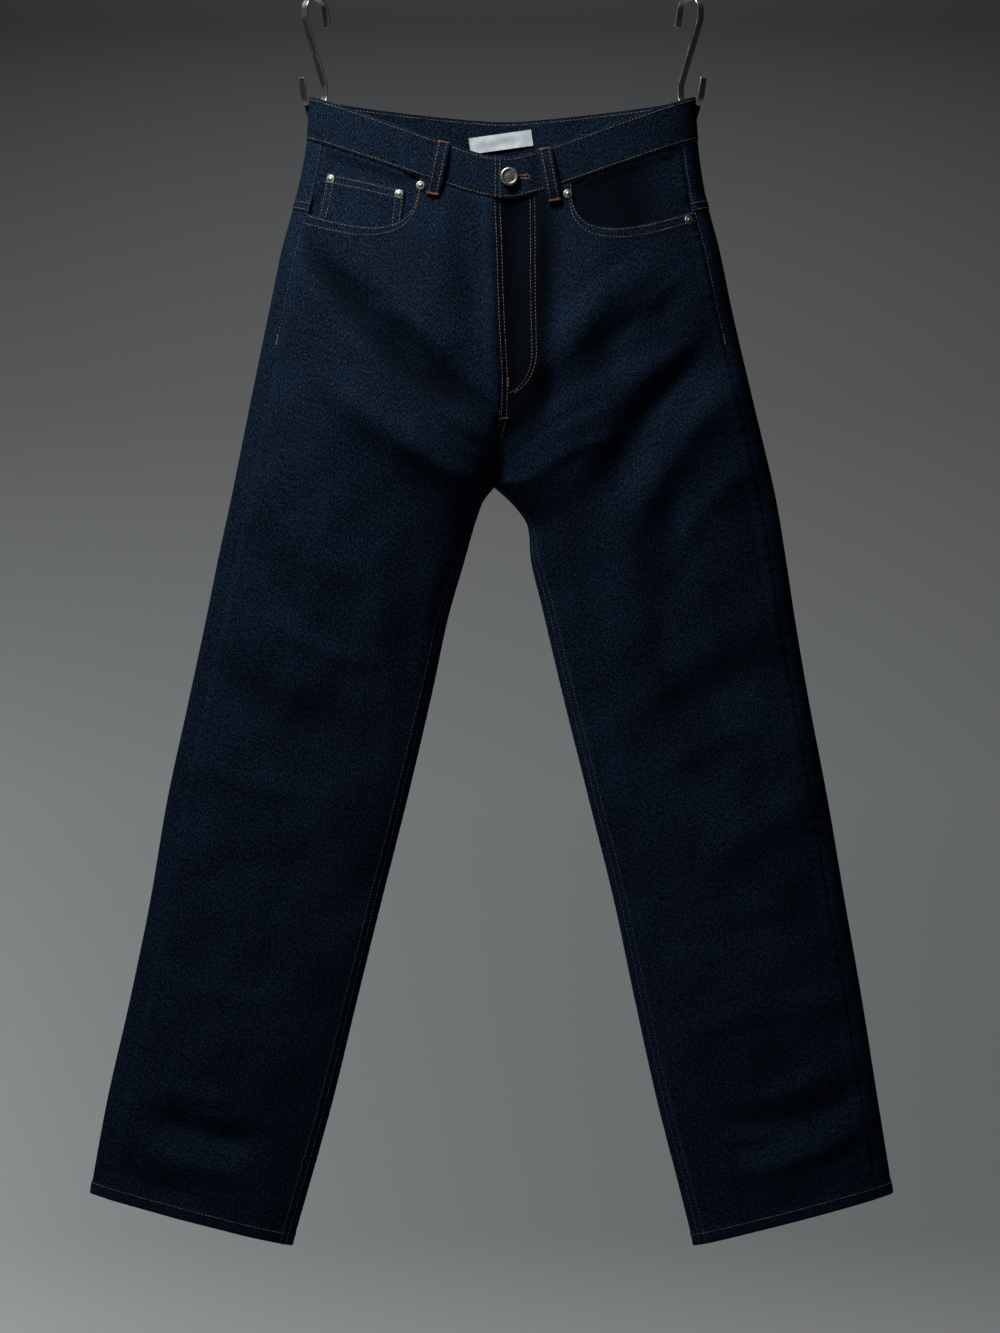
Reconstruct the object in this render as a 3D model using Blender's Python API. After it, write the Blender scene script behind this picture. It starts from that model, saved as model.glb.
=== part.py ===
"""Straight leg jeans, hung by their side belt loops from two S-hooks.

The frame, in metres: +X is the viewer's right, which is the wearer's left. +Y goes away from the
viewer, from the front of the jeans to their back. +Z is up. The origin is on the line of the rail
that the hooks hang from, midway between them.

All the cloth lies on one surface, made of level rows round each half of the garment. A place on it
has two coordinates. `turn` goes along a row: 0 at the inner edge (the centre front, or the inseam
below the crotch), 1 at the outermost line of the side, 2 at the inner edge again, round the back.
`level` is how far below the rail that row passes the side. Rows dip towards their inner edge.
"""

import math
from typing import NamedTuple

import bmesh
import bpy
import numpy as np
from mathutils import Vector

RIGHT, LEFT = -1, 1  # the wearer's halves, and the sign of X that each is on

# Levels below the rail, at the side
WAIST_TOP = 0.0974
BAND_HEIGHT = 0.042
BAND_BOTTOM = WAIST_TOP + BAND_HEIGHT
YOKE_SIDE = 0.205
YOKE_CENTRE = 0.222
FLY_END = 0.330
CROTCH = 0.470  # below the rail at the inner edge
FRONT_TUCK, BACK_TUCK = 0.398, 0.340  # where the inner edges start to turn in under the crotch
HEM = 1.1435

# Cloth
SEAM_GAP = 0.0003
LAYER_GAP = 0.0004
DENIM = 0.0012
HEM_DEPTH = 0.012
HEM_FOLD = HEM - HEM_DEPTH
HEM_THICKNESS = 0.0024
BAND_OUT = 0.0005  # the waistband's face stands this far outside the panels' faces
BAND_THICKNESS = 0.0022
SIDE_SEAM_IN = 0.016  # the side seams lie on the front, this far inside the outermost line
INSEAM_IN = 0.004
INSEAM_SETTLED = 0.600
SIDE_LINE_Y = -0.0196  # the hooks hold the side loops a little behind the outermost line
ROW_SOFTNESS = 0.12  # how gently a row leaves its inner edge, as a share of the half's width
CROTCH_BLUNTNESS = 0.6  # of a leg's profile at the inner edge, where 1 is oval
BLUNT_LEVELS = (0.415, 0.620)  # the profile grows oval between these

# Front opening
FLY_LAP = 0.011  # the left front passes the centre by this much at the waistband
FLY_LAP_END = 0.315
FLY_LIFT = 0.0010
FLY_LIFT_SHARES = (0.10, 0.26)  # the lift fades out between these
FLY_LIFT_FADE = 0.03  # and over this length down to the fly's end
FLY_WIDTH = 0.033
BAND_LAP_LIFT = 0.0027
LAP_SHARES = (0.20, 0.15, 0.10, 0.0)  # where the band's top end comes down to the one below it
LAP_NEAR = 0.28  # the band's even columns end here

# Front pockets: each mouth is a quarter of a superellipse
POCKET_INNER = {RIGHT: 0.42, LEFT: 0.34}  # as a share of the half's width
POCKET_DEPTH = {RIGHT: 0.0665, LEFT: 0.0640}
POCKET_POWER = 2.95
RELAXED_ROW = 0.236  # below the mouths the panels' rows are regular

BUTTON_RADIUS = 0.0088
RIVET_RADIUS = 0.0044
LOOP_WIDTH = 0.013
LOOP_THICKNESS = 0.0016
LOOP_END = 0.153

# S-hooks, bent from flat strip
STRIP_WIDTH = 0.008
STRIP_THICKNESS = 0.002
HOOK_REACH = 0.1018  # from the crown's inside, on the rail, to the inside of the lower bend
HOOK_HALF = 0.0130  # from the hook's middle line to the strip's centre
HOOK_TIP = 0.0245
HOOK_SPLAY = 0.004  # how far the free ends lean out
HOOK_NECK = 0.0205  # where the crown's long side turns across to the lower bend
HOOK_NECK_RADIUS = 0.010
HOOK_CLEARANCE = 0.0008  # between the waistband and the strip's edge
SIDE_LOOP_TURN = 1.13


class Side(NamedTuple):
    """Where the outline's sides run at one depth below the rail, and the centre seams between them."""

    below: float
    right_side: float
    centre: float
    left_side: float


SIDES = (
    Side(0.097, -0.1840, 0.0020, 0.1840),
    Side(0.140, -0.1870, 0.0020, 0.1865),
    Side(0.196, -0.1980, 0.0015, 0.1950),
    Side(0.240, -0.2100, 0.0010, 0.2065),
    Side(0.300, -0.2225, -0.0010, 0.2190),
    Side(0.390, -0.2410, -0.0025, 0.2400),
    Side(0.440, -0.2510, -0.0045, 0.2520),
    Side(0.470, -0.2570, -0.0080, 0.2590),
    Side(0.540, -0.2720, -0.0080, 0.2710),
    Side(0.590, -0.2820, -0.0080, 0.2785),
    Side(0.670, -0.2990, -0.0080, 0.2920),
    Side(0.770, -0.3205, -0.0080, 0.3110),
    Side(0.865, -0.3365, -0.0080, 0.3270),
    Side(0.960, -0.3560, -0.0080, 0.3435),
    Side(1.055, -0.3775, -0.0080, 0.3585),
    Side(1.145, -0.3940, -0.0080, 0.3730),
)


class Inseam(NamedTuple):
    """Where the legs' inner edges run, from the crotch down."""

    below: float
    right_inner: float
    left_inner: float


INSEAMS = (
    Inseam(0.470, -0.0080, -0.0080),
    Inseam(0.482, -0.0175, 0.0055),
    Inseam(0.500, -0.0245, 0.0205),
    Inseam(0.540, -0.0360, 0.0270),
    Inseam(0.590, -0.0505, 0.0390),
    Inseam(0.670, -0.0680, 0.0580),
    Inseam(0.770, -0.0915, 0.0830),
    Inseam(0.865, -0.1155, 0.1065),
    Inseam(0.960, -0.1390, 0.1265),
    Inseam(1.055, -0.1620, 0.1475),
    Inseam(1.145, -0.1870, 0.1705),
    Inseam(1.195, -0.2015, 0.1830),
)


class Section(NamedTuple):
    """A row's half depths, and how far its inner edge lies lower than the side."""

    level: float
    front_depth: float
    back_depth: float
    front_drop: float
    back_drop: float


SECTIONS = (
    Section(0.097, 0.045, 0.055, 0.064, 0.015),
    Section(0.140, 0.047, 0.058, 0.062, 0.018),
    Section(0.205, 0.052, 0.063, 0.060, 0.025),
    Section(0.300, 0.055, 0.066, 0.057, 0.040),
    Section(0.370, 0.052, 0.062, 0.055, 0.051),
    Section(0.415, 0.047, 0.056, 0.055, 0.055),
    Section(0.480, 0.040, 0.047, 0.054, 0.054),
    Section(0.560, 0.034, 0.040, 0.053, 0.053),
    Section(0.700, 0.029, 0.034, 0.052, 0.052),
    Section(0.900, 0.025, 0.029, 0.051, 0.051),
    Section(1.050, 0.022, 0.025, 0.050, 0.050),
    Section(1.145, 0.019, 0.022, 0.050, 0.050),
)


class Fold(NamedTuple):
    """A soft ridge (height over 0) or trough along a bowed line, seen from the front."""

    on_back: bool
    start_x: float
    start_below: float
    end_x: float
    end_below: float
    sag: float
    width: float
    height: float


FOLDS = (
    Fold(False, -0.185, 0.236, -0.028, 0.405, 0.020, 0.014, -0.0055),
    Fold(False, -0.150, 0.232, -0.050, 0.345, 0.012, 0.018, 0.0030),
    Fold(False, -0.205, 0.300, -0.050, 0.450, 0.020, 0.018, 0.0030),
    Fold(False, 0.016, 0.412, 0.150, 0.300, -0.008, 0.013, -0.0045),
    Fold(False, 0.050, 0.352, 0.135, 0.268, -0.006, 0.017, 0.0030),
    Fold(False, 0.040, 0.450, 0.190, 0.335, -0.010, 0.016, 0.0035),
    Fold(False, 0.085, 0.505, 0.200, 0.330, -0.012, 0.015, -0.0045),
    Fold(False, 0.120, 0.520, 0.225, 0.370, -0.012, 0.017, 0.0035),
    Fold(False, -0.042, 0.215, -0.028, 0.315, 0.000, 0.008, -0.0030),
    Fold(False, -0.060, 0.215, -0.058, 0.300, 0.000, 0.011, 0.0022),
    Fold(False, 0.050, 0.225, 0.043, 0.380, 0.000, 0.012, -0.0035),
    Fold(False, -0.066, 0.560, -0.075, 0.690, 0.000, 0.012, 0.0030),
    Fold(False, -0.230, 0.470, -0.150, 0.560, 0.010, 0.022, 0.0028),
    Fold(False, -0.280, 0.640, -0.150, 0.700, 0.010, 0.022, -0.0030),
    Fold(False, 0.150, 0.690, 0.270, 0.640, -0.008, 0.022, -0.0030),
    Fold(False, 0.200, 0.820, 0.300, 0.770, -0.006, 0.024, 0.0028),
    Fold(False, -0.330, 1.068, -0.235, 1.090, 0.006, 0.013, -0.0038),
    Fold(False, -0.345, 1.100, -0.250, 1.122, 0.004, 0.013, 0.0026),
    Fold(False, 0.215, 1.075, 0.335, 1.045, 0.010, 0.014, -0.0034),
    Fold(False, 0.215, 1.125, 0.330, 1.085, 0.006, 0.013, 0.0026),
    Fold(True, -0.200, 0.400, -0.030, 0.455, 0.014, 0.015, -0.0050),
    Fold(True, -0.215, 0.440, -0.060, 0.500, 0.014, 0.016, -0.0040),
    Fold(True, -0.210, 0.420, -0.050, 0.478, 0.014, 0.015, 0.0030),
    Fold(True, 0.195, 0.395, 0.025, 0.458, 0.016, 0.015, -0.0048),
    Fold(True, 0.220, 0.450, 0.070, 0.515, 0.012, 0.017, -0.0040),
    Fold(True, 0.205, 0.420, 0.045, 0.485, 0.014, 0.015, 0.0030),
    Fold(True, -0.290, 0.650, -0.110, 0.690, 0.012, 0.018, -0.0042),
    Fold(True, -0.285, 0.700, -0.130, 0.735, 0.010, 0.020, -0.0034),
    Fold(True, 0.100, 0.700, 0.275, 0.655, 0.014, 0.018, -0.0042),
    Fold(True, 0.130, 0.750, 0.285, 0.715, 0.010, 0.020, -0.0032),
    Fold(True, -0.350, 1.070, -0.220, 1.105, 0.006, 0.015, -0.0032),
    Fold(True, 0.205, 1.100, 0.330, 1.060, 0.008, 0.015, -0.0032),
)


class Finish(NamedTuple):
    """A material's colour (sRGB), metallic value and roughness."""

    name: str
    colour: tuple
    metallic: float
    roughness: float


DENIM_FACE = Finish("indigo_denim", (0.075, 0.110, 0.175), 0.0, 0.85)
PEWTER = Finish("pewter", (0.55, 0.56, 0.56), 1.0, 0.42)
STEEL = Finish("brushed_steel", (0.74, 0.74, 0.72), 1.0, 0.35)
SATIN = Finish("white_satin", (0.82, 0.84, 0.86), 0.0, 0.45)
ZIP_TAPE = Finish("zip_tape", (0.06, 0.07, 0.10), 0.0, 0.80)


def curve_through(stations, values):
    """A smooth function of the station through these values."""
    stations, values = np.array(stations), np.array(values)
    slopes = np.gradient(values, stations)

    def at(station):
        station = np.clip(station, stations[0], stations[-1])
        k = np.clip(np.searchsorted(stations, station) - 1, 0, len(stations) - 2)
        step = stations[k + 1] - stations[k]
        u = (station - stations[k]) / step
        return (
            values[k] * (1 + 2 * u) * (1 - u) ** 2
            + values[k + 1] * (3 - 2 * u) * u**2
            + step * u * (1 - u) * (slopes[k] * (1 - u) - slopes[k + 1] * u)
        )

    return at


def column(rows, key, name):
    return curve_through([getattr(r, key) for r in rows], [getattr(r, name) for r in rows])


SIDE_X = {RIGHT: column(SIDES, "below", "right_side"), LEFT: column(SIDES, "below", "left_side")}
CENTRE_X = column(SIDES, "below", "centre")
INSEAM_X = {
    RIGHT: column(INSEAMS, "below", "right_inner"),
    LEFT: column(INSEAMS, "below", "left_inner"),
}
FRONT_DEPTH = column(SECTIONS, "level", "front_depth")
BACK_DEPTH = column(SECTIONS, "level", "back_depth")
FRONT_DROP = column(SECTIONS, "level", "front_drop")
BACK_DROP = column(SECTIONS, "level", "back_drop")


def inner_x(half, below):
    """The inner edge of a half: the centre seams, then the leg's own inner edge."""
    return np.where(below < CROTCH, CENTRE_X(below), INSEAM_X[half](below))


def ease(value, start, end):
    """0 before start, 1 after end, and smooth between them."""
    u = np.clip((value - start) / (end - start), 0.0, 1.0)
    return u * u * (3 - 2 * u)


def share_of_width(turn):
    """How far across the half a turn lies: 0 at the inner edge, 1 at the side."""
    return np.where(turn < 0, -1.0, 1.0) * (1 - np.cos(np.pi * turn)) / 2


def turn_at(share):
    """The turn on the front at a share of the half's width."""
    return np.sign(share) * np.arccos(1 - 2 * np.abs(share)) / np.pi


def fold_height(on_back, x, below):
    """The sum of all folds of that face."""
    total = np.zeros_like(x)
    for fold in FOLDS:
        run_x, run_down = fold.end_x - fold.start_x, fold.end_below - fold.start_below
        length = math.hypot(run_x, run_down)
        along = ((x - fold.start_x) * run_x + (below - fold.start_below) * run_down) / length**2
        off = ((below - fold.start_below) * run_x - (x - fold.start_x) * run_down) / length
        off = off - fold.sag * math.copysign(1, run_x) * np.sin(np.pi * np.clip(along, 0, 1))
        taper = ease(along, -0.25, 0.25) * (1 - ease(along, 0.75, 1.25))
        rise = fold.height * np.exp(-((off / fold.width) ** 2)) * taper
        total += np.where(on_back == fold.on_back, rise, 0.0)
    return total


def leg_fullness(share, level):
    """The profile of a leg's face from inseam to side. It is blunt at the crotch, and oval below."""
    bluntness = CROTCH_BLUNTNESS + (1 - CROTCH_BLUNTNESS) * ease(level, *BLUNT_LEVELS)
    widest = bluntness / (1 + bluntness)
    peak = widest**bluntness * (1 - widest)
    share = np.clip(share, 0, 1)
    return np.sqrt(share**bluntness * (1 - share) / peak)


def cloth_point(half, turn, level):
    """Points of the panels' outer face, as an array with X, Y and Z last."""
    turn, level = np.broadcast_arrays(np.asarray(turn, float), np.asarray(level, float))
    share = share_of_width(turn)
    on_back = (turn > 1) & (turn <= 2)
    drop = np.where(on_back, BACK_DROP(level), FRONT_DROP(level))
    inner_below = level + drop
    tuck = ease(inner_below, np.where(on_back, BACK_TUCK, FRONT_TUCK), CROTCH)

    inner = inner_x(half, inner_below) + half * SEAM_GAP / 2
    x = inner + (SIDE_X[half](level) - inner) * share
    soft = ROW_SOFTNESS * (1 - tuck)
    rise = (np.sqrt(share**2 + soft**2) - soft) / (np.sqrt(1 + soft**2) - soft)
    below = level + drop * (1 - rise)

    depth = np.where(on_back, BACK_DEPTH(level), FRONT_DEPTH(level))
    hip = np.sqrt(np.clip(1 - share**2, 0, 1))
    fullness = (1 - tuck) * hip + tuck * leg_fullness(share, level)
    bulge = depth * fullness + fold_height(on_back, x, below) * ease(fullness, 0.0, 0.6)
    if half == LEFT:
        fade = ease(level, FLY_END - FLY_LIFT_FADE, FLY_END)
        on_fly = (1 - ease(share, *FLY_LIFT_SHARES)) * (1 - fade)
        bulge = bulge + np.where(on_back, 0.0, FLY_LIFT * on_fly)
    y = SIDE_LINE_Y + np.where(on_back, bulge, -bulge)
    return np.stack([x, y, -below], axis=-1)


def unit(vectors):
    return vectors / np.linalg.norm(vectors, axis=-1, keepdims=True)


def cloth_frame(half, turn, level):
    """(points, directions along the row away from the inner edge, outward normals)"""
    turn, level = np.broadcast_arrays(np.asarray(turn, float), np.asarray(level, float))
    turn_step, level_step = 0.006, 0.001
    drop = np.where(turn > 1, BACK_DROP(level), FRONT_DROP(level))
    closed_leg = level + drop >= CROTCH - 1e-6
    fly_row = level < FLY_END
    low = np.maximum(turn - turn_step, np.where(closed_leg | fly_row, -np.inf, 0.0))
    high = np.minimum(turn + turn_step, np.where(closed_leg, np.inf, 2.0))
    along = unit(cloth_point(half, high, level) - cloth_point(half, low, level))
    down = cloth_point(half, turn, level + level_step) - cloth_point(half, turn, level - level_step)
    normal = unit(np.cross(along, down)) * -half
    return cloth_point(half, turn, level), along, normal


def moved_turn(half, turn, level, distance):
    """The turn that lies a short distance further along the row, or back along it if negative."""
    turn, level = np.broadcast_arrays(np.asarray(turn, float), np.asarray(level, float))
    start = cloth_point(half, turn, level)
    way = math.copysign(1, distance)
    near, far = np.zeros_like(turn), np.full_like(turn, 0.2)
    for _ in range(30):  # each halves the error
        middle = (near + far) / 2
        moved = cloth_point(half, turn + way * middle, level)
        short = np.linalg.norm(moved - start, axis=-1) < abs(distance)
        near, far = np.where(short, middle, near), np.where(short, far, middle)
    return turn + way * near


def half_width(half, level):
    return np.abs(SIDE_X[half](level) - inner_x(half, level + FRONT_DROP(level)))


def side_seam_turn(half, level):
    return turn_at(1 - SIDE_SEAM_IN / half_width(half, level))


def inner_turn(half, level):
    """Where a front panel's rows begin: at the fly's edge, the centre, or the inseam."""
    lap = FLY_LAP * np.clip((FLY_LAP_END - level) / (FLY_LAP_END - BAND_BOTTOM), 0, 1)
    inseam = INSEAM_IN * ease(level + FRONT_DROP(level), CROTCH, INSEAM_SETTLED)
    return turn_at((inseam - half * lap) / half_width(half, level))


def below_crotch(level):
    return level + FRONT_DROP(level) >= CROTCH - 1e-6


def spread(count, start=0.0, end=1.0):
    return np.linspace(start, end, count)


def material(finish):
    """The Principled material of a finish, made once."""
    found = bpy.data.materials.get(finish.name)
    if found:
        return found
    made = bpy.data.materials.new(finish.name)
    made.use_nodes = True
    shader = made.node_tree.nodes["Principled BSDF"]
    linear = [c / 12.92 if c <= 0.04045 else ((c + 0.055) / 1.055) ** 2.4 for c in finish.colour]
    shader.inputs["Base Color"].default_value = (*linear, 1.0)
    shader.inputs["Metallic"].default_value = finish.metallic
    shader.inputs["Roughness"].default_value = finish.roughness
    return made


def add_object(name, bm, finish):
    """Puts a finished bmesh into the scene, with its faces pointing out."""
    bmesh.ops.recalc_face_normals(bm, faces=bm.faces[:])
    if bm.calc_volume(signed=True) < 0:
        bmesh.ops.reverse_faces(bm, faces=bm.faces[:])
    mesh = bpy.data.meshes.new(name)
    bm.to_mesh(mesh)
    bm.free()
    mesh.materials.append(material(finish))
    mesh.shade_smooth()
    mesh.set_sharp_from_angle(angle=math.radians(40))
    piece = bpy.data.objects.new(name, mesh)
    bpy.context.scene.collection.objects.link(piece)
    return piece


def add_wall(name, face, back, finish):
    """A closed sheet between two lattices of points, each an array of rows by columns by 3."""
    rows, columns = face.shape[:2]
    bm = bmesh.new()
    bmesh.ops.create_grid(bm, x_segments=columns - 1, y_segments=rows - 1, size=0.5)
    face_verts = bm.verts[:]
    swept = bmesh.ops.extrude_face_region(bm, geom=bm.faces[:], use_keep_orig=True)
    back_verts = [g for g in swept["geom"] if isinstance(g, bmesh.types.BMVert)]
    for verts, lattice in ((face_verts, face), (back_verts, back)):
        for vert in verts:
            c = round((vert.co.x + 0.5) * (columns - 1))
            r = round((vert.co.y + 0.5) * (rows - 1))
            vert.co = Vector(lattice[r, c])
    return add_object(name, bm, finish)


def add_cloth(name, half, turn, level, out, thickness, finish=DENIM_FACE):
    """A wall whose outer face is moved out from the cloth surface, or in if out is negative."""
    points, _, normals = cloth_frame(half, turn, level)
    face = points + normals * np.expand_dims(np.broadcast_to(out, turn.shape), -1)
    depth = np.expand_dims(np.broadcast_to(thickness, turn.shape), -1)
    return add_wall(name, face, face - normals * depth, finish)


def add_turned(name, profile, sides, centre, axis, finish):
    """A solid turned about an axis, from (radius, height) points that start and end on it."""
    bm = bmesh.new()
    verts = [bm.verts.new((radius, 0.0, height)) for radius, height in profile]
    edges = [bm.edges.new(pair) for pair in zip(verts, verts[1:])]
    bmesh.ops.spin(
        bm, geom=verts + edges, cent=(0, 0, 0), axis=(0, 0, 1), angle=math.tau, steps=sides, use_merge=True
    )
    bmesh.ops.remove_doubles(bm, verts=bm.verts[:], dist=1e-6)
    turned = Vector(axis).to_track_quat("Z", "Y").to_matrix().to_4x4()
    turned.translation = Vector(centre)
    bmesh.ops.transform(bm, matrix=turned, verts=bm.verts[:])
    return add_object(name, bm, finish)


# ---------------------------------------------------------------- panels

HIP_ROWS = (RELAXED_ROW, 0.255, 0.275, 0.295, 0.314, FLY_END, 0.345, 0.360, 0.375, 0.390)
CROTCH_ROWS = (0.4015, 0.4085, 0.415, 0.422, 0.430, 0.440, 0.452, 0.468, 0.490)
HEM_STEP = 0.001  # the wall thickens over this length
LEG_ROWS = np.concatenate([
    HIP_ROWS, CROTCH_ROWS, spread(16, 0.517, 1.104), (HEM_FOLD - HEM_STEP, HEM_FOLD, HEM)
])
# How far along its row each column of a front panel stands; the first five end on the waistband
FRONT_FRACTIONS = np.array([0, 0.12, 0.23, 0.34, 0.45, 0.52, 0.59, 0.66, 0.73, 0.80, 0.87, 0.935, 1])
BAND_COLUMNS = 5


def wall_thickness(level):
    return np.where(level > HEM_FOLD - HEM_STEP / 2, HEM_THICKNESS, DENIM)


def front_rows(half):
    """Turns of a front panel's regular rows, with each seam's gap taken off."""
    turns = []
    for level in LEG_ROWS:
        first = inner_turn(half, level)
        if below_crotch(level):
            first = moved_turn(half, first, level, SEAM_GAP / 2)
        last = moved_turn(half, side_seam_turn(half, level), level, -SEAM_GAP / 2)
        turns.append(first + (last - first) * FRONT_FRACTIONS)
    return np.array(turns)


def pocket_mouth(half):
    """(shares, levels) of the mouth's edge, from below its inner end to the side seam."""
    steep = np.radians([16, 32, 48])  # stations on the part that falls from the waistband
    outer = 1 - SIDE_SEAM_IN / half_width(half, YOKE_SIDE)
    reach = outer - POCKET_INNER[half]
    steep_reach = reach * np.cos(steep) ** (2 / POCKET_POWER)
    flat_reach = steep_reach[-1] * spread(6, 1, 0)[1:] ** 1.5
    left = np.concatenate([steep_reach, flat_reach])
    drop = POCKET_DEPTH[half] * (1 - (left / reach) ** POCKET_POWER) ** (1 / POCKET_POWER)
    return outer - left, BAND_BOTTOM + SEAM_GAP + drop


def front_lattice(half):
    """Turns and levels of a front panel: rows that follow the pocket's mouth, then regular ones."""
    rows = front_rows(half)
    edge = share_of_width(inner_turn(half, BAND_BOTTOM))
    mouth_share, mouth_level = pocket_mouth(half)
    on_band = edge + (POCKET_INNER[half] - edge) * spread(BAND_COLUMNS)
    if half == LEFT:
        on_band[1:4] = LAP_SHARES[3], LAP_SHARES[2], LAP_SHARES[0]
    top_share = np.concatenate([on_band, mouth_share])
    top_level = np.concatenate([np.full(BAND_COLUMNS, BAND_BOTTOM + SEAM_GAP), mouth_level])
    seam = turn_at(top_share[-1:])
    top_share[-1] = share_of_width(moved_turn(half, seam, top_level[-1:], -SEAM_GAP / 2))[0]
    relaxed_share = share_of_width(rows[0])
    turns, levels = [], []
    for u in (0.0, 0.2, 0.4, 0.6, 0.8):
        turns.append(turn_at(top_share + (relaxed_share - top_share) * u))
        levels.append(top_level + (RELAXED_ROW - top_level) * u)
    turns = np.concatenate([turns, rows])
    levels = np.concatenate([levels, np.repeat(LEG_ROWS[:, None], len(FRONT_FRACTIONS), axis=1)])
    return turns, levels


BACK_COLUMNS = 16
POCKET_COLUMNS = slice(3, 11)  # of the back's columns


def back_fractions(start, end):
    """Turns of a back row: two steps round the side, then even ones to the inner edge."""
    return np.concatenate([[start, (start + 1) / 2], 1 + (end - 1) * spread(BACK_COLUMNS - 2)])


def back_end(half, level):
    return inner_turn(half, level) + 2 if below_crotch(level) else np.array(2.0)


def yoke_level(turn):
    """The yoke's lower seam, which dips to the centre back."""
    return YOKE_SIDE + (YOKE_CENTRE - YOKE_SIDE) * ease(turn, 0.8, 2.0)


def back_row(half, level):
    start = moved_turn(half, side_seam_turn(half, level), level, SEAM_GAP / 2)
    end = back_end(half, level)
    if below_crotch(level):
        end = moved_turn(half, end, level, -SEAM_GAP / 2)
    return back_fractions(float(start), float(end))


def back_lattice(half):
    """Turns and levels of a back panel, from the yoke seam to the hem."""
    top = back_row(half, YOKE_SIDE)
    top_level = yoke_level(top) + SEAM_GAP / 2
    turns, levels = [], []
    for u in (0.0, 0.5):
        turns.append(top + (back_row(half, RELAXED_ROW) - top) * u)
        levels.append(top_level + (RELAXED_ROW - top_level) * u)
    turns += [back_row(half, level) for level in LEG_ROWS]
    levels += [np.full(BACK_COLUMNS, level) for level in LEG_ROWS]
    return np.array(turns), np.array(levels)


def build_panels():
    for half, side in ((RIGHT, "right"), (LEFT, "left")):
        turns, levels = front_lattice(half)
        add_cloth(f"front_{side}", half, turns, levels, 0.0, wall_thickness(levels))
        turns, levels = back_lattice(half)
        add_cloth(f"back_{side}", half, turns, levels, 0.0, wall_thickness(levels))
        add_back_pocket(f"back_pocket_{side}", half, turns, levels)
        top, bottom = back_row(half, BAND_BOTTOM), back_row(half, YOKE_SIDE)
        u = spread(4)[:, None]
        turns = top + (bottom - top) * u
        first = BAND_BOTTOM + SEAM_GAP
        levels = first + (yoke_level(bottom) - SEAM_GAP / 2 - first) * u
        add_cloth(f"yoke_{side}", half, turns, levels, 0.0, DENIM)


# ---------------------------------------------------------------- pockets

BACK_POCKET_TOP = 0.233
BACK_POCKET_LENGTH = 0.148
BACK_POCKET_POINT = 0.018
BACK_POCKET_GAP = 0.0009
BACK_POCKET_ROWS = 11
BACK_POCKET_TAPER = 0.75  # of a column, drawn in on each side at the bottom


def add_back_pocket(name, half, turns, levels):
    """A patch made from the back panel's own points, moved out, with a pointed lower edge."""
    points, _, normals = cloth_frame(half, turns, levels)
    columns = range(BACK_COLUMNS)[POCKET_COLUMNS]
    middle = (columns[0] + columns[-1]) / 2
    spots, ups = [], []
    for c in columns:
        point = BACK_POCKET_POINT * (1 - abs(c - middle) / (columns[-1] - middle))
        wanted = BACK_POCKET_TOP + (BACK_POCKET_LENGTH + point) * spread(BACK_POCKET_ROWS)
        row = np.interp(wanted, levels[:, c], np.arange(len(levels)))
        below = np.floor(row).astype(int)
        u = (row - below)[:, None]
        spots.append(points[below, c] * (1 - u) + points[below + 1, c] * u)
        ups.append(unit(normals[below, c] * (1 - u) + normals[below + 1, c] * u))
    drawn_in = BACK_POCKET_TAPER * spread(BACK_POCKET_ROWS)[:, None]
    for values in (spots, ups):
        values[0] = values[0] * (1 - drawn_in) + values[1] * drawn_in
        values[-1] = values[-1] * (1 - drawn_in) + values[-2] * drawn_in
    spots, ups = np.stack(spots, axis=1), np.stack(ups, axis=1)
    back = spots + ups * BACK_POCKET_GAP
    add_wall(name, back + ups * DENIM, back, DENIM_FACE)


FACING_OUT = {RIGHT: -0.0034, LEFT: -0.0018}  # the right one lies deeper, under the coin pocket
FACING_THICKNESS = 0.0011
FACING_MARGIN = 0.065  # how far it passes the mouth, as a share of the half's width
FACING_END = 0.228
FACING_ROWS, FACING_COLUMNS = 7, 11
COIN_ROWS, COIN_COLUMNS = 6, 9
COIN_SHARES = (0.49, 0.877)
COIN_TOP = (0.157, 0.1643)  # at its inner and outer corners
COIN_BOTTOM = 0.222


def build_front_pockets():
    for half, side in ((RIGHT, "right"), (LEFT, "left")):
        level = spread(FACING_ROWS, BAND_BOTTOM + SEAM_GAP, FACING_END)[:, None]
        level = np.repeat(level, FACING_COLUMNS, axis=1)
        start = turn_at(POCKET_INNER[half] - FACING_MARGIN)
        end = moved_turn(half, side_seam_turn(half, level[:, :1]), level[:, :1], -SEAM_GAP / 2)
        turn = start + (end - start) * spread(FACING_COLUMNS)
        add_cloth(f"pocket_facing_{side}", half, turn, level, FACING_OUT[half], FACING_THICKNESS)
    turn, down = np.meshgrid(spread(COIN_COLUMNS, *turn_at(np.array(COIN_SHARES))), spread(COIN_ROWS))
    level = spread(COIN_COLUMNS, *COIN_TOP) * (1 - down) + COIN_BOTTOM * down
    coin_out = FACING_OUT[RIGHT] + LAYER_GAP + FACING_THICKNESS
    add_cloth("coin_pocket", RIGHT, turn, level, coin_out, FACING_THICKNESS)


# ---------------------------------------------------------------- waistband and fly

RIGHT_BAND_COLUMNS, LEFT_BAND_COLUMNS = 25, 22


def band_columns():
    """(half, turns) round the band, from its end under the lap to its end on top."""
    over = -turn_at(FLY_LAP / half_width(LEFT, BAND_BOTTOM))
    under = -turn_at(LAP_SHARES[2])
    right = np.concatenate([[under], spread(RIGHT_BAND_COLUMNS, 0.0, 2.0)])
    even = spread(LEFT_BAND_COLUMNS, 2.0, turn_at(LAP_NEAR))[1:]
    left = np.concatenate([even, turn_at(np.array(LAP_SHARES)), [over]])
    return (RIGHT, right), (LEFT, left)


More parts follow.
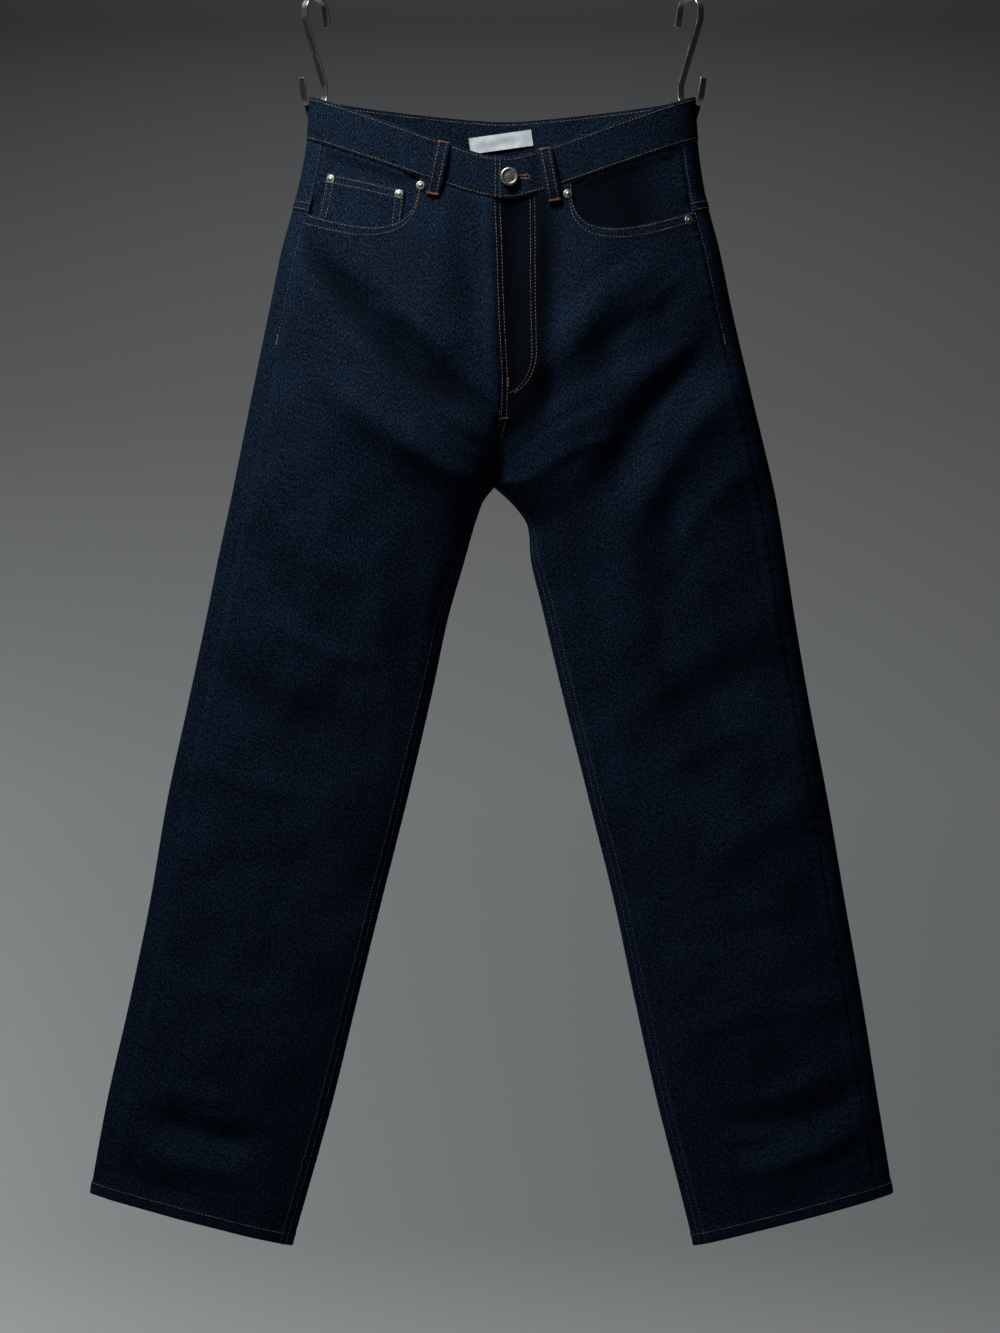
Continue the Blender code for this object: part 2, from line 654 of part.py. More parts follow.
def build_waistband():
    level = np.array([WAIST_TOP, WAIST_TOP + BAND_HEIGHT / 2, BAND_BOTTOM])[:, None]
    faces, backs = [], []
    for half, turns in band_columns():
        points, _, normals = cloth_frame(half, turns[None, :], level)
        out = np.full(len(turns), BAND_OUT)
        if half == LEFT:
            lapped = (1 - ease(share_of_width(turns), LAP_SHARES[2], LAP_SHARES[0])) * (turns < 1)
            out = out + BAND_LAP_LIFT * lapped
        face = points + normals * out[None, :, None]
        faces.append(face)
        backs.append(face - normals * BAND_THICKNESS)
    add_wall("waistband", np.concatenate(faces, axis=1), np.concatenate(backs, axis=1), DENIM_FACE)


FLY_J_START = 0.293
FLY_J_END = 0.329
FLY_J_TIP = 0.332  # where the J's curve would meet the fly's edge
FLY_FACING_OUT = -0.0030
FLY_FACING_THICKNESS = 0.0010
FLY_MIDDLE = 0.25


class FlyLayer(NamedTuple):
    """A straight strip behind the fly: its edges' distances from the centre, and its depth."""

    name: str
    right_edge: float
    left_edge: float
    out: float
    thickness: float
    finish: Finish


FLY_LAYERS = (
    FlyLayer("fly_zip", -0.012, 0.016, -0.0044, 0.0008, ZIP_TAPE),
    FlyLayer("fly_shield", -0.018, 0.030, -0.0056, 0.0011, DENIM_FACE),
)


def build_fly():
    """Facing, zip tape and shield, one behind the other, on the left front's surface."""
    width = half_width(LEFT, FLY_MIDDLE)
    level = spread(13, BAND_BOTTOM + SEAM_GAP, FLY_J_END)[:, None]
    bend = np.clip((level - FLY_J_START) / (FLY_J_TIP - FLY_J_START), 0, 1)
    outer = FLY_WIDTH * np.sqrt(1 - bend**2)
    inner = share_of_width(inner_turn(LEFT, level)) * width + SEAM_GAP
    shares = (inner + (outer - inner) * spread(6)) / width
    shape = np.broadcast_to(level, shares.shape)
    add_cloth("fly_facing", LEFT, turn_at(shares), shape, FLY_FACING_OUT, FLY_FACING_THICKNESS)
    level = spread(9, BAND_BOTTOM + SEAM_GAP, FLY_END - 0.004)
    for layer in FLY_LAYERS:
        shares, shape = np.meshgrid(spread(5, layer.right_edge, layer.left_edge) / width, level)
        add_cloth(layer.name, LEFT, turn_at(shares), shape, layer.out, layer.thickness, layer.finish)


# ---------------------------------------------------------------- belt loops and hooks


def loop_frame(half, turn):
    """(point, direction along the row, outward normal) in the middle of the waistband."""
    level = WAIST_TOP + BAND_HEIGHT / 2
    points, along, normals = cloth_frame(half, np.array([[turn]]), np.array([[level]]))
    return points[0, 0], along[0, 0], normals[0, 0]


def add_loop(name, half, top_turn, bottom_turn, stations, lift=0.0, sink=None):
    """A strap across the waistband. Stations are (distance out to the strap's middle, level)."""
    _, along, out = loop_frame(half, (top_turn + bottom_turn) / 2)
    stations = np.array(stations) + (lift, 0.0)
    u = (stations[:, 1] - stations[0, 1]) / (stations[-1, 1] - stations[0, 1])
    turns = top_turn + (bottom_turn - top_turn) * np.clip(u, 0, 1)
    middle = cloth_point(half, turns, stations[:, 1]) + stations[:, :1] * out
    if sink is not None:
        middle[:, 2] = -stations[:, 1]  # the hook sets this one's heights
    run = unit(np.gradient(middle, axis=0))
    across = unit(along - run * (run @ along)[:, None])
    outward = unit(np.cross(across, run)) * -half
    offsets = spread(3, -LOOP_WIDTH / 2, LOOP_WIDTH / 2)
    lattice = middle[:, None, :] + across[:, None, :] * offsets[None, :, None]
    if sink is not None:
        lattice[..., 2] += sink(offsets)[None, :] * (stations[:, 1] < HOOKED_LEVEL)[:, None]
    thick = outward[:, None, :] * LOOP_THICKNESS / 2
    add_wall(name, lattice + thick, lattice - thick, DENIM_FACE)


class FrontLoop(NamedTuple):
    """A front belt loop, which leans: its ends' distances from the centre, and its lift."""

    side: str
    half: int
    top_x: float
    bottom_x: float
    lift: float


FRONT_LOOPS = (
    FrontLoop("right", RIGHT, 0.0580, 0.0665, 0.0),
    FrontLoop("left", LEFT, 0.0380, 0.0470, 0.0007),
)
HOOKED_LEVEL = WAIST_TOP + 0.007  # above it a side loop takes the hook's curve
FLAT_LOOP = (
    (0.0021, WAIST_TOP + 0.0004), (0.0024, 0.1015), (0.0036, 0.1080), (0.0042, 0.1180),
    (0.0040, 0.1320), (0.0032, 0.1430), (0.0020, 0.1490), (0.0017, LOOP_END),
)
# Over the strip of the hook, then down. The first run is level, so its stations share one height
HOOKED_LOOP = (
    (0.0012, 0.1003), (0.0050, 0.10032), (0.0093, 0.1005), (0.01095, 0.1015), (0.0115, 0.1035),
    (0.0108, 0.1068), (0.0080, 0.1125), (0.0054, 0.1190), (0.0044, 0.1290), (0.0040, 0.1430),
    (0.0022, 0.1550), (0.0014, 0.1610),
)


def strip_rise(offset):
    """How much higher the inside of the lower bend is, away from its lowest point."""
    radius = HOOK_HALF - STRIP_THICKNESS / 2
    return radius - np.sqrt(radius**2 - np.asarray(offset) ** 2)


def build_belt_loops():
    for loop in FRONT_LOOPS:
        width = half_width(loop.half, BAND_BOTTOM)
        top, bottom = float(turn_at(loop.top_x / width)), float(turn_at(loop.bottom_x / width))
        add_loop(f"belt_loop_front_{loop.side}", loop.half, top, bottom, FLAT_LOOP, loop.lift)
        turn = SIDE_LOOP_TURN
        add_loop(f"belt_loop_side_{loop.side}", loop.half, turn, turn, HOOKED_LOOP, sink=strip_rise)
    add_loop("belt_loop_back", RIGHT, 2.0, 2.0, FLAT_LOOP)


def rounded_path(corners, radii, steps):
    """A polyline whose inner corners are rounded, each with its own radius."""
    path = [Vector(corners[0])]
    for before, corner, after, radius in zip(corners, corners[1:], corners[2:], radii):
        before, corner, after = Vector(before), Vector(corner), Vector(after)
        back, on = (before - corner).normalized(), (after - corner).normalized()
        half_angle = back.angle(on) / 2
        centre = corner + (back + on).normalized() * radius / math.sin(half_angle)
        start = (corner + back * radius / math.tan(half_angle) - centre).normalized()
        end = (corner + on * radius / math.tan(half_angle) - centre).normalized()
        for k in range(steps + 1):
            path.append(centre + start.slerp(end, k / steps) * radius)
    return path + [Vector(corners[-1])]


def hook_path():
    """The strip's middle line as (along the waistband, Z): a point-symmetric S."""
    top = STRIP_THICKNESS / 2
    upper = [
        (HOOK_HALF + HOOK_SPLAY, 0.0, -HOOK_TIP),
        (HOOK_HALF - HOOK_SPLAY / 4, 0.0, top),
        (-HOOK_HALF, 0.0, top),
        (-HOOK_HALF, 0.0, -HOOK_NECK),
    ]
    lower = [(-x, 0.0, -HOOK_REACH - z) for x, _, z in reversed(upper)]
    bend, neck = HOOK_HALF - 0.0006, HOOK_NECK_RADIUS  # a full half circle leaves no straight run
    return rounded_path(upper + lower, [bend, bend, neck, neck, bend, bend], 7)


def build_hooks():
    for side, half in (("right", RIGHT), ("left", LEFT)):
        point, along, out = loop_frame(half, SIDE_LOOP_TURN)
        along = unit(np.array([along[0], along[1], 0.0]))
        out = unit(np.array([out[0], out[1], 0.0]))
        top = cloth_point(half, SIDE_LOOP_TURN, WAIST_TOP + 0.004)
        centre = np.array([top[0], top[1], 0.0]) + out * (BAND_OUT + HOOK_CLEARANCE + STRIP_WIDTH / 2)
        path = np.array(hook_path())
        middle = centre + path[:, :1] * along + path[:, 2:] * np.array([0.0, 0.0, 1.0])
        run = unit(np.gradient(middle, axis=0))
        up = np.cross(run, out)
        lattice = middle[:, None, :] + out * spread(2, -STRIP_WIDTH / 2, STRIP_WIDTH / 2)[None, :, None]
        thick = up[:, None, :] * STRIP_THICKNESS / 2
        add_wall(f"s_hook_{side}", lattice + thick, lattice - thick, STEEL)


# ---------------------------------------------------------------- metal and label

# (radius, height) points, from the foot up
BUTTON_PROFILE = (
    (0.0, 0.0), (0.0032, 0.0), (0.0032, 0.0012), (0.0076, 0.0014), (BUTTON_RADIUS, 0.0022),
    (0.0085, 0.0032), (0.0072, 0.0039), (0.0060, 0.0036), (0.0030, 0.0040), (0.0, 0.0042),
)
RIVET_PROFILE = (
    (0.0, 0.0), (RIVET_RADIUS, 0.0), (RIVET_RADIUS, 0.0006), (0.0034, 0.0012), (0.0, 0.0015),
)


ON_BAND = BAND_OUT + BAND_LAP_LIFT + SEAM_GAP
ON_PANEL = SEAM_GAP + 0.0002
ON_COIN = FACING_OUT[RIGHT] + LAYER_GAP + FACING_THICKNESS + SEAM_GAP


class Stud(NamedTuple):
    """A turned piece that stands on the cloth, at a share of the half's width."""

    name: str
    half: int
    share: float
    level: float
    out: float
    profile: tuple
    sides: int


STUDS = (
    Stud("waist_button", LEFT, 0.022, 0.1175, ON_BAND, BUTTON_PROFILE, 20),
    Stud("rivet_right_inner", RIGHT, 0.414, 0.1480, ON_PANEL, RIVET_PROFILE, 12),
    Stud("rivet_left_inner", LEFT, 0.322, 0.1500, ON_PANEL, RIVET_PROFILE, 12),
    Stud("rivet_left_outer", LEFT, 0.888, 0.2105, ON_PANEL, RIVET_PROFILE, 12),
    Stud("rivet_coin_outer", RIGHT, 0.853, 0.1690, ON_COIN, RIVET_PROFILE, 12),
    Stud("rivet_coin_inner", RIGHT, 0.516, 0.1625, ON_COIN, RIVET_PROFILE, 12),
)


def build_metal():
    for stud in STUDS:
        turn, level = np.array([[turn_at(stud.share)]]), np.array([[stud.level]])
        points, _, normals = cloth_frame(stud.half, turn, level)
        centre = points[0, 0] + normals[0, 0] * stud.out
        add_turned(stud.name, stud.profile, stud.sides, centre, normals[0, 0], PEWTER)


LABEL_SIZE = (0.061, 0.0155)
LABEL_MIDDLE = (-0.0015, -0.1318)
LABEL_TILT = math.radians(8)
LABEL_THICKNESS = 0.0006
LABEL_GAP = 0.0005


def build_label():
    """A bare label inside the back of the waistband."""
    wide, high = LABEL_SIZE
    across = np.array([math.cos(LABEL_TILT), 0.0, math.sin(LABEL_TILT)])
    up = np.array([-math.sin(LABEL_TILT), 0.0, math.cos(LABEL_TILT)])
    lattice = (
        np.array([LABEL_MIDDLE[0], 0.0, LABEL_MIDDLE[1]])
        + across * spread(5, -wide / 2, wide / 2)[None, :, None]
        + up * spread(2, high / 2, -high / 2)[:, None, None]
    )
    below = -lattice[..., 2]
    turn = 2 - turn_at(np.abs(lattice[..., 0] - CENTRE_X(below)) / half_width(RIGHT, WAIST_TOP))
    level = below.copy()
    for _ in range(4):  # each nears the level whose point is that far below
        level += below + cloth_point(RIGHT, turn, level)[..., 2]
    face = cloth_point(RIGHT, turn, level)[..., 1]
    lattice[..., 1] = face + BAND_OUT - BAND_THICKNESS - LABEL_GAP - LABEL_THICKNESS
    add_wall("waist_label", lattice, lattice + (0.0, LABEL_THICKNESS, 0.0), SATIN)


def main():
    for old in list(bpy.data.objects):
        bpy.data.objects.remove(old, do_unlink=True)
    build_panels()
    build_front_pockets()
    build_waistband()
    build_fly()
    build_belt_loops()
    build_hooks()
    build_metal()
    build_label()


main()
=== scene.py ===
"""Straight leg jeans, hung by their side belt loops from two S-hooks: the look of every surface.

The frame is the solids' own, in metres. +X is the viewer's right, which is the wearer's left. +Y goes from
the front of the jeans to their back, +Z is up, and the origin is on the rail that the hooks hang from.

All the cloth lies on one form, made of level rows round each half of the garment. A place on it has two
coordinates. `turn` goes along a row: 0 at the inner edge (the centre front, or the inseam below the
crotch), 1 at the outermost line of the side, 2 at the inner edge again, round the back. `level` is how far
below the rail that row passes the side.
"""

import logging
import math
from dataclasses import dataclass, field, replace
from enum import Enum, IntEnum
from typing import Callable, Sequence

import bmesh
import bpy
import numpy as np
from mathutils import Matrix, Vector
from mathutils.bvhtree import BVHTree


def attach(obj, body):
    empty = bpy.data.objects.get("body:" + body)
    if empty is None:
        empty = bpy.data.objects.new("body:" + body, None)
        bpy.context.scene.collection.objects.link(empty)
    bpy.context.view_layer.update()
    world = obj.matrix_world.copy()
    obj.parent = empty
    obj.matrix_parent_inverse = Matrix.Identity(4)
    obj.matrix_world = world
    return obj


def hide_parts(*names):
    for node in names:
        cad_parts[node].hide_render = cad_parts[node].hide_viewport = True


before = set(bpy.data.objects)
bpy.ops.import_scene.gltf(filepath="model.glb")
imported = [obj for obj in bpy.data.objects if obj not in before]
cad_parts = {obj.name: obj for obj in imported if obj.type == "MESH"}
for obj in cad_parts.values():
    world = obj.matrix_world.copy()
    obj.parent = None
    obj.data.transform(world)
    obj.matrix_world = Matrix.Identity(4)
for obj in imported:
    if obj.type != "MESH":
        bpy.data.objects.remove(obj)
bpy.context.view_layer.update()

log = logging.getLogger("jeans")
Array = np.ndarray
Piece = bpy.types.Object
Material = bpy.types.Material
Socket = bpy.types.NodeSocket
Pair = tuple[float, float]
Places = tuple[np.ndarray, np.ndarray]
BODY = "root"
TINY = 1e-6
TENTHS = 10_000  # tenths of a millimetre in a metre
BAND_FREQUENCY = 20  # radians of a Wave texture's bands to each unit of its scale


class Half(IntEnum):
    """The wearer's halves. The value is the sign of X that each is on."""

    RIGHT = -1
    LEFT = 1

    @property
    def side(self) -> str:
        """The half as the pieces' names have it."""
        return self.name.lower()


class Edge(Enum):
    """The edges of a piece of cloth: along its rows, and along its columns."""

    START = "start"
    END = "end"
    TOP = "top"
    BOTTOM = "bottom"


# ---- small helpers


def srgb(code: str) -> tuple[float, float, float, float]:
    """Turns an sRGB hex colour to linear.

    Args:
        code: The colour as "#rrggbb".

    Returns:
        Red, green, blue and an alpha of 1, linear.
    """
    parts = [int(code[k : k + 2], 16) / 255 for k in (1, 3, 5)]
    linear = [c / 12.92 if c <= 0.04045 else ((c + 0.055) / 1.055) ** 2.4 for c in parts]
    return (*linear, 1.0)


def ease(value: Array, start: float, end: float) -> Array:
    """Rises smoothly from 0 before start to 1 after end."""
    u = np.clip((value - start) / (end - start), 0.0, 1.0)
    return u * u * (3 - 2 * u)


def unit(vectors: Array) -> Array:
    """Scales vectors to a length of 1."""
    return vectors / np.maximum(np.linalg.norm(vectors, axis=-1, keepdims=True), 1e-12)


def spread(count: int, start: float = 0.0, end: float = 1.0) -> Array:
    """Even steps from start to end."""
    return np.linspace(start, end, count)


def run_lengths(points: Array, axis: int = 0) -> Array:
    """How far each point lies from the first, measured along an axis of a line or lattice."""
    steps = np.linalg.norm(np.diff(points, axis=axis), axis=-1)
    ahead = [(1, 0) if k == axis else (0, 0) for k in range(steps.ndim)]
    return np.pad(np.cumsum(steps, axis=axis), ahead)


def at_lengths(place: Array | float, lengths: Array, values: Array) -> Array:
    """A line's points or normals at distances along it."""
    return np.stack([np.interp(place, lengths, values[:, axis]) for axis in range(3)], axis=-1)


def grid_of(across: Array, along: Array) -> Array:
    """A UV map in metres, from the distances across a strip and along it."""
    return np.stack(np.broadcast_arrays(across[None, :], along[:, None]), axis=-1)


def curve_through(stations: Sequence[float], values: Sequence[float]) -> Callable[[Array], Array]:
    """Makes a smooth function through values.

    Args:
        stations: Where each value is reached, rising.
        values: The values there.

    Returns:
        The function, which stays level beyond the first and last station.
    """
    at_stations, at_values = np.array(stations), np.array(values)
    slopes = np.gradient(at_values, at_stations)

    def at(station: Array) -> Array:
        """The value at a station."""
        station = np.clip(station, at_stations[0], at_stations[-1])
        k = np.clip(np.searchsorted(at_stations, station) - 1, 0, len(at_stations) - 2)
        step = at_stations[k + 1] - at_stations[k]
        u = (station - at_stations[k]) / step
        return (
            at_values[k] * (1 + 2 * u) * (1 - u) ** 2
            + at_values[k + 1] * (3 - 2 * u) * u**2
            + step * u * (1 - u) * (slopes[k] * (1 - u) - slopes[k + 1] * u)
        )

    return at


def column(rows: Sequence, key: str, name: str) -> Callable[[Array], Array]:
    """Makes a smooth function of one column of a table from another."""
    return curve_through([getattr(r, key) for r in rows], [getattr(r, name) for r in rows])


def waves(along: Array, pitch: float, seed: float) -> Array:
    """Uneven waves along a seam, between about -1 and 1.

    Args:
        along: The distance along the seam.
        pitch: The usual distance between two crests.
        seed: Shifts the pattern, so that no two seams match.

    Returns:
        The height of the waves.
    """
    drift = 1.1 * np.sin(along / (pitch * 0.61) + seed) + 0.8 * np.sin(along / (pitch * 1.37) + 2.1 * seed)
    strength = 0.62 + 0.38 * np.sin(along / (pitch * 0.93) + 3.7 * seed)
    return strength * np.sin(math.tau * along / pitch + drift)


# ---- the form of the cloth


@dataclass(frozen=True)
class Side:
    """Where the outline's sides run at one depth below the rail, and the centre seams between them."""

    below: float
    right_side: float
    centre: float
    left_side: float


@dataclass(frozen=True)
class Inseam:
    """Where the legs' inner edges run, from the crotch down."""

    below: float
    right_inner: float
    left_inner: float


@dataclass(frozen=True)
class Section:
    """A row's half depths, and how far its inner edge lies lower than the side."""

    level: float
    front_depth: float
    back_depth: float
    front_drop: float
    back_drop: float


@dataclass(frozen=True)
class Fold:
    """A soft ridge (height over 0) or trough along a bowed line, seen from the front."""

    start_x: float
    start_below: float
    end_x: float
    end_below: float
    sag: float
    width: float
    height: float
    on_back: bool


def table(kind: type, *rows: tuple[int, ...], **shared: object) -> tuple:
    """Makes records from rows in tenths of a millimetre, and from the fields that all of them share."""
    return tuple(kind(*(value / TENTHS for value in row), **shared) for row in rows)


SIDES = table(
    Side,
    (970, -1840, 20, 1840),
    (1400, -1870, 20, 1865),
    (1960, -1980, 15, 1950),
    (2400, -2100, 10, 2065),
    (3000, -2225, -10, 2190),
    (3900, -2410, -25, 2400),
    (4400, -2510, -45, 2520),
    (4700, -2570, -80, 2590),
    (5400, -2720, -80, 2710),
    (5900, -2820, -80, 2785),
    (6700, -2990, -80, 2920),
    (7700, -3205, -80, 3110),
    (8650, -3365, -80, 3270),
    (9600, -3560, -80, 3435),
    (10550, -3775, -80, 3585),
    (11450, -3940, -80, 3730),
)

INSEAMS = table(
    Inseam,
    (4700, -80, -80),
    (4820, -175, 55),
    (5000, -245, 205),
    (5400, -360, 270),
    (5900, -505, 390),
    (6700, -680, 580),
    (7700, -915, 830),
    (8650, -1155, 1065),
    (9600, -1390, 1265),
    (10550, -1620, 1475),
    (11450, -1870, 1705),
    (11950, -2015, 1830),
)

SECTIONS = table(
    Section,
    (970, 450, 550, 640, 150),
    (1400, 470, 580, 620, 180),
    (2050, 520, 630, 600, 250),
    (3000, 550, 660, 570, 400),
    (3700, 520, 620, 550, 510),
    (4150, 470, 560, 550, 550),
    (4800, 400, 470, 540, 540),
    (5600, 340, 400, 530, 530),
    (7000, 290, 340, 520, 520),
    (9000, 250, 290, 510, 510),
    (10500, 220, 250, 500, 500),
    (11450, 190, 220, 500, 500),
)


# The large folds, which the solids have too
FOLDS = table(
    Fold,
    (-1850, 2360, -280, 4050, 200, 140, -55),
    (-1500, 2320, -500, 3450, 120, 180, 30),
    (-2050, 3000, -500, 4500, 200, 180, 30),
    (160, 4120, 1500, 3000, -80, 130, -45),
    (500, 3520, 1350, 2680, -60, 170, 30),
    (400, 4500, 1900, 3350, -100, 160, 35),
    (850, 5050, 2000, 3300, -120, 150, -45),
    (1200, 5200, 2250, 3700, -120, 170, 35),
    (-420, 2150, -280, 3150, 0, 80, -30),
    (-600, 2150, -580, 3000, 0, 110, 22),
    (500, 2250, 430, 3800, 0, 120, -35),
    (-660, 5600, -750, 6900, 0, 120, 30),
    (-2300, 4700, -1500, 5600, 100, 220, 28),
    (-2800, 6400, -1500, 7000, 100, 220, -30),
    (1500, 6900, 2700, 6400, -80, 220, -30),
    (2000, 8200, 3000, 7700, -60, 240, 28),
    (-3300, 10680, -2350, 10900, 60, 130, -38),
    (-3450, 11000, -2500, 11220, 40, 130, 26),
    (2150, 10750, 3350, 10450, 100, 140, -34),
    (2150, 11250, 3300, 10850, 60, 130, 26),
    on_back=False,
) + table(
    Fold,
    (-2000, 4000, -300, 4550, 140, 150, -50),
    (-2150, 4400, -600, 5000, 140, 160, -40),
    (-2100, 4200, -500, 4780, 140, 150, 30),
    (1950, 3950, 250, 4580, 160, 150, -48),
    (2200, 4500, 700, 5150, 120, 170, -40),
    (2050, 4200, 450, 4850, 140, 150, 30),
    (-2900, 6500, -1100, 6900, 120, 180, -42),
    (-2850, 7000, -1300, 7350, 100, 200, -34),
    (1000, 7000, 2750, 6550, 140, 180, -42),
    (1300, 7500, 2850, 7150, 100, 200, -32),
    (-3500, 10700, -2200, 11050, 60, 150, -32),
    (2050, 11000, 3300, 10600, 80, 150, -32),
    on_back=True,
)

# Finer creases, which only the shells have
CREASES = table(
    Fold,
    (-1650, 2620, -1050, 3000, 40, 60, -11),
    (-1200, 2620, -740, 3300, 60, 70, 12),
    (-1960, 2680, -1200, 3520, 80, 80, 14),
    (-1900, 3300, -1100, 4020, 60, 90, -13),
    (-700, 3950, -140, 4380, 50, 60, -13),
    (-940, 4300, -220, 4620, 60, 70, 11),
    (100, 4420, 900, 3920, -50, 60, -12),
    (220, 4660, 1100, 4240, -60, 70, 13),
    (640, 3000, 1120, 2560, -30, 70, -10),
    (1180, 3400, 1700, 2700, -40, 80, 12),
    (1600, 4300, 2150, 3400, -60, 90, -12),
    (1500, 5600, 2320, 4500, -80, 110, 13),
    (-2400, 5200, -1700, 6100, 80, 100, -12),
    (-2150, 6000, -1200, 6400, 60, 100, 12),
    (-920, 6400, -1050, 7400, 30, 80, -10),
    (780, 6200, 920, 7200, -30, 80, 10),
    (-2900, 7350, -1800, 7600, 60, 120, 13),
    (-3000, 8500, -1900, 8220, -60, 140, -12),
    (-3300, 9350, -2150, 9580, 60, 130, 12),
    (1600, 7350, 2400, 7020, -50, 120, 12),
    (1800, 9050, 3050, 8850, -60, 140, -13),
    (1900, 9850, 3200, 9600, -60, 130, 12),
    (-3180, 10400, -2620, 10520, 30, 80, 12),
    (-3000, 10850, -2550, 11040, 30, 70, 10),
    (-3600, 11200, -3000, 11420, 30, 80, -11),
    (2360, 10520, 3000, 10280, 30, 80, 12),
    (2050, 11000, 2620, 10920, 30, 70, -11),
    (2700, 11200, 3400, 10960, 30, 80, -11),
    (-130, 2000, -100, 3720, 0, 70, 22),
    (120, 1900, 130, 3800, 0, 130, -50),
    (980, 2360, 620, 4000, 0, 180, 30),
    (-1650, 2700, -120, 4060, 0, 120, -44),
    (-1650, 3720, -450, 4680, 0, 180, 40),
    (-820, 2150, -400, 3300, 0, 140, 26),
    (600, 3680, 1400, 2980, -40, 120, 24),
    (200, 4200, 1300, 3380, -60, 100, -20),
    (750, 4840, 1850, 3450, -60, 120, -24),
    (1250, 4800, 1050, 6400, 0, 180, 26),
    (1620, 4700, 1480, 6400, 0, 140, -26),
    (1500, 6400, 2050, 7800, 0, 160, -24),
    (-1100, 5000, -1200, 6400, 0, 160, 20),
    on_back=False,
) + table(
    Fold,
    (-1900, 4300, -1000, 4700, 80, 70, 13),
    (-1600, 4700, -500, 5200, 100, 80, -13),
    (1850, 4300, 950, 4750, 80, 70, 13),
    (1600, 5000, 600, 5450, 80, 90, -12),
    (-2700, 6200, -1500, 6500, 80, 90, 13),
    (-2900, 7400, -1700, 7650, 60, 100, 13),
    (1100, 6550, 2500, 6150, 80, 90, 12),
    (1500, 7900, 2900, 7600, 60, 110, 12),
    (-3200, 9000, -2000, 9300, 60, 130, -13),
    (1800, 9300, 3150, 9000, 60, 130, -13),
    (-3500, 11100, -2600, 11300, 30, 80, 12),
    (2400, 10700, 3200, 10450, 30, 80, 11),
    on_back=True,
)


@dataclass(frozen=True)
class Unevenness:
    """The slow swell that no cloth is free of: a few crossed waves of unlike lengths."""

    height: float = 0.00055
    lengths: tuple[float, ...] = (0.047, 0.061, 0.078, 0.099, 0.133, 0.171)
    turned: float = 2.4  # radians from one wave's heading to the next one's
    flattened: float = 0.8  # how much longer the waves are up and down
    shifted: float = 1.7  # radians from one wave's start to the next one's

    def at(self, x: Array, below: Array, seed: float) -> Array:
        """The swell at a place, in metres."""
        total = np.zeros_like(x)
        for k, length in enumerate(self.lengths):
            heading = self.turned * k + seed
            wave = x * math.cos(heading) + below * math.sin(heading) * self.flattened
            phase = math.tau * wave / length + self.shifted * k * seed
            total += np.sin(phase) * (length / self.lengths[-1]) ** 0.5
        return self.height * total


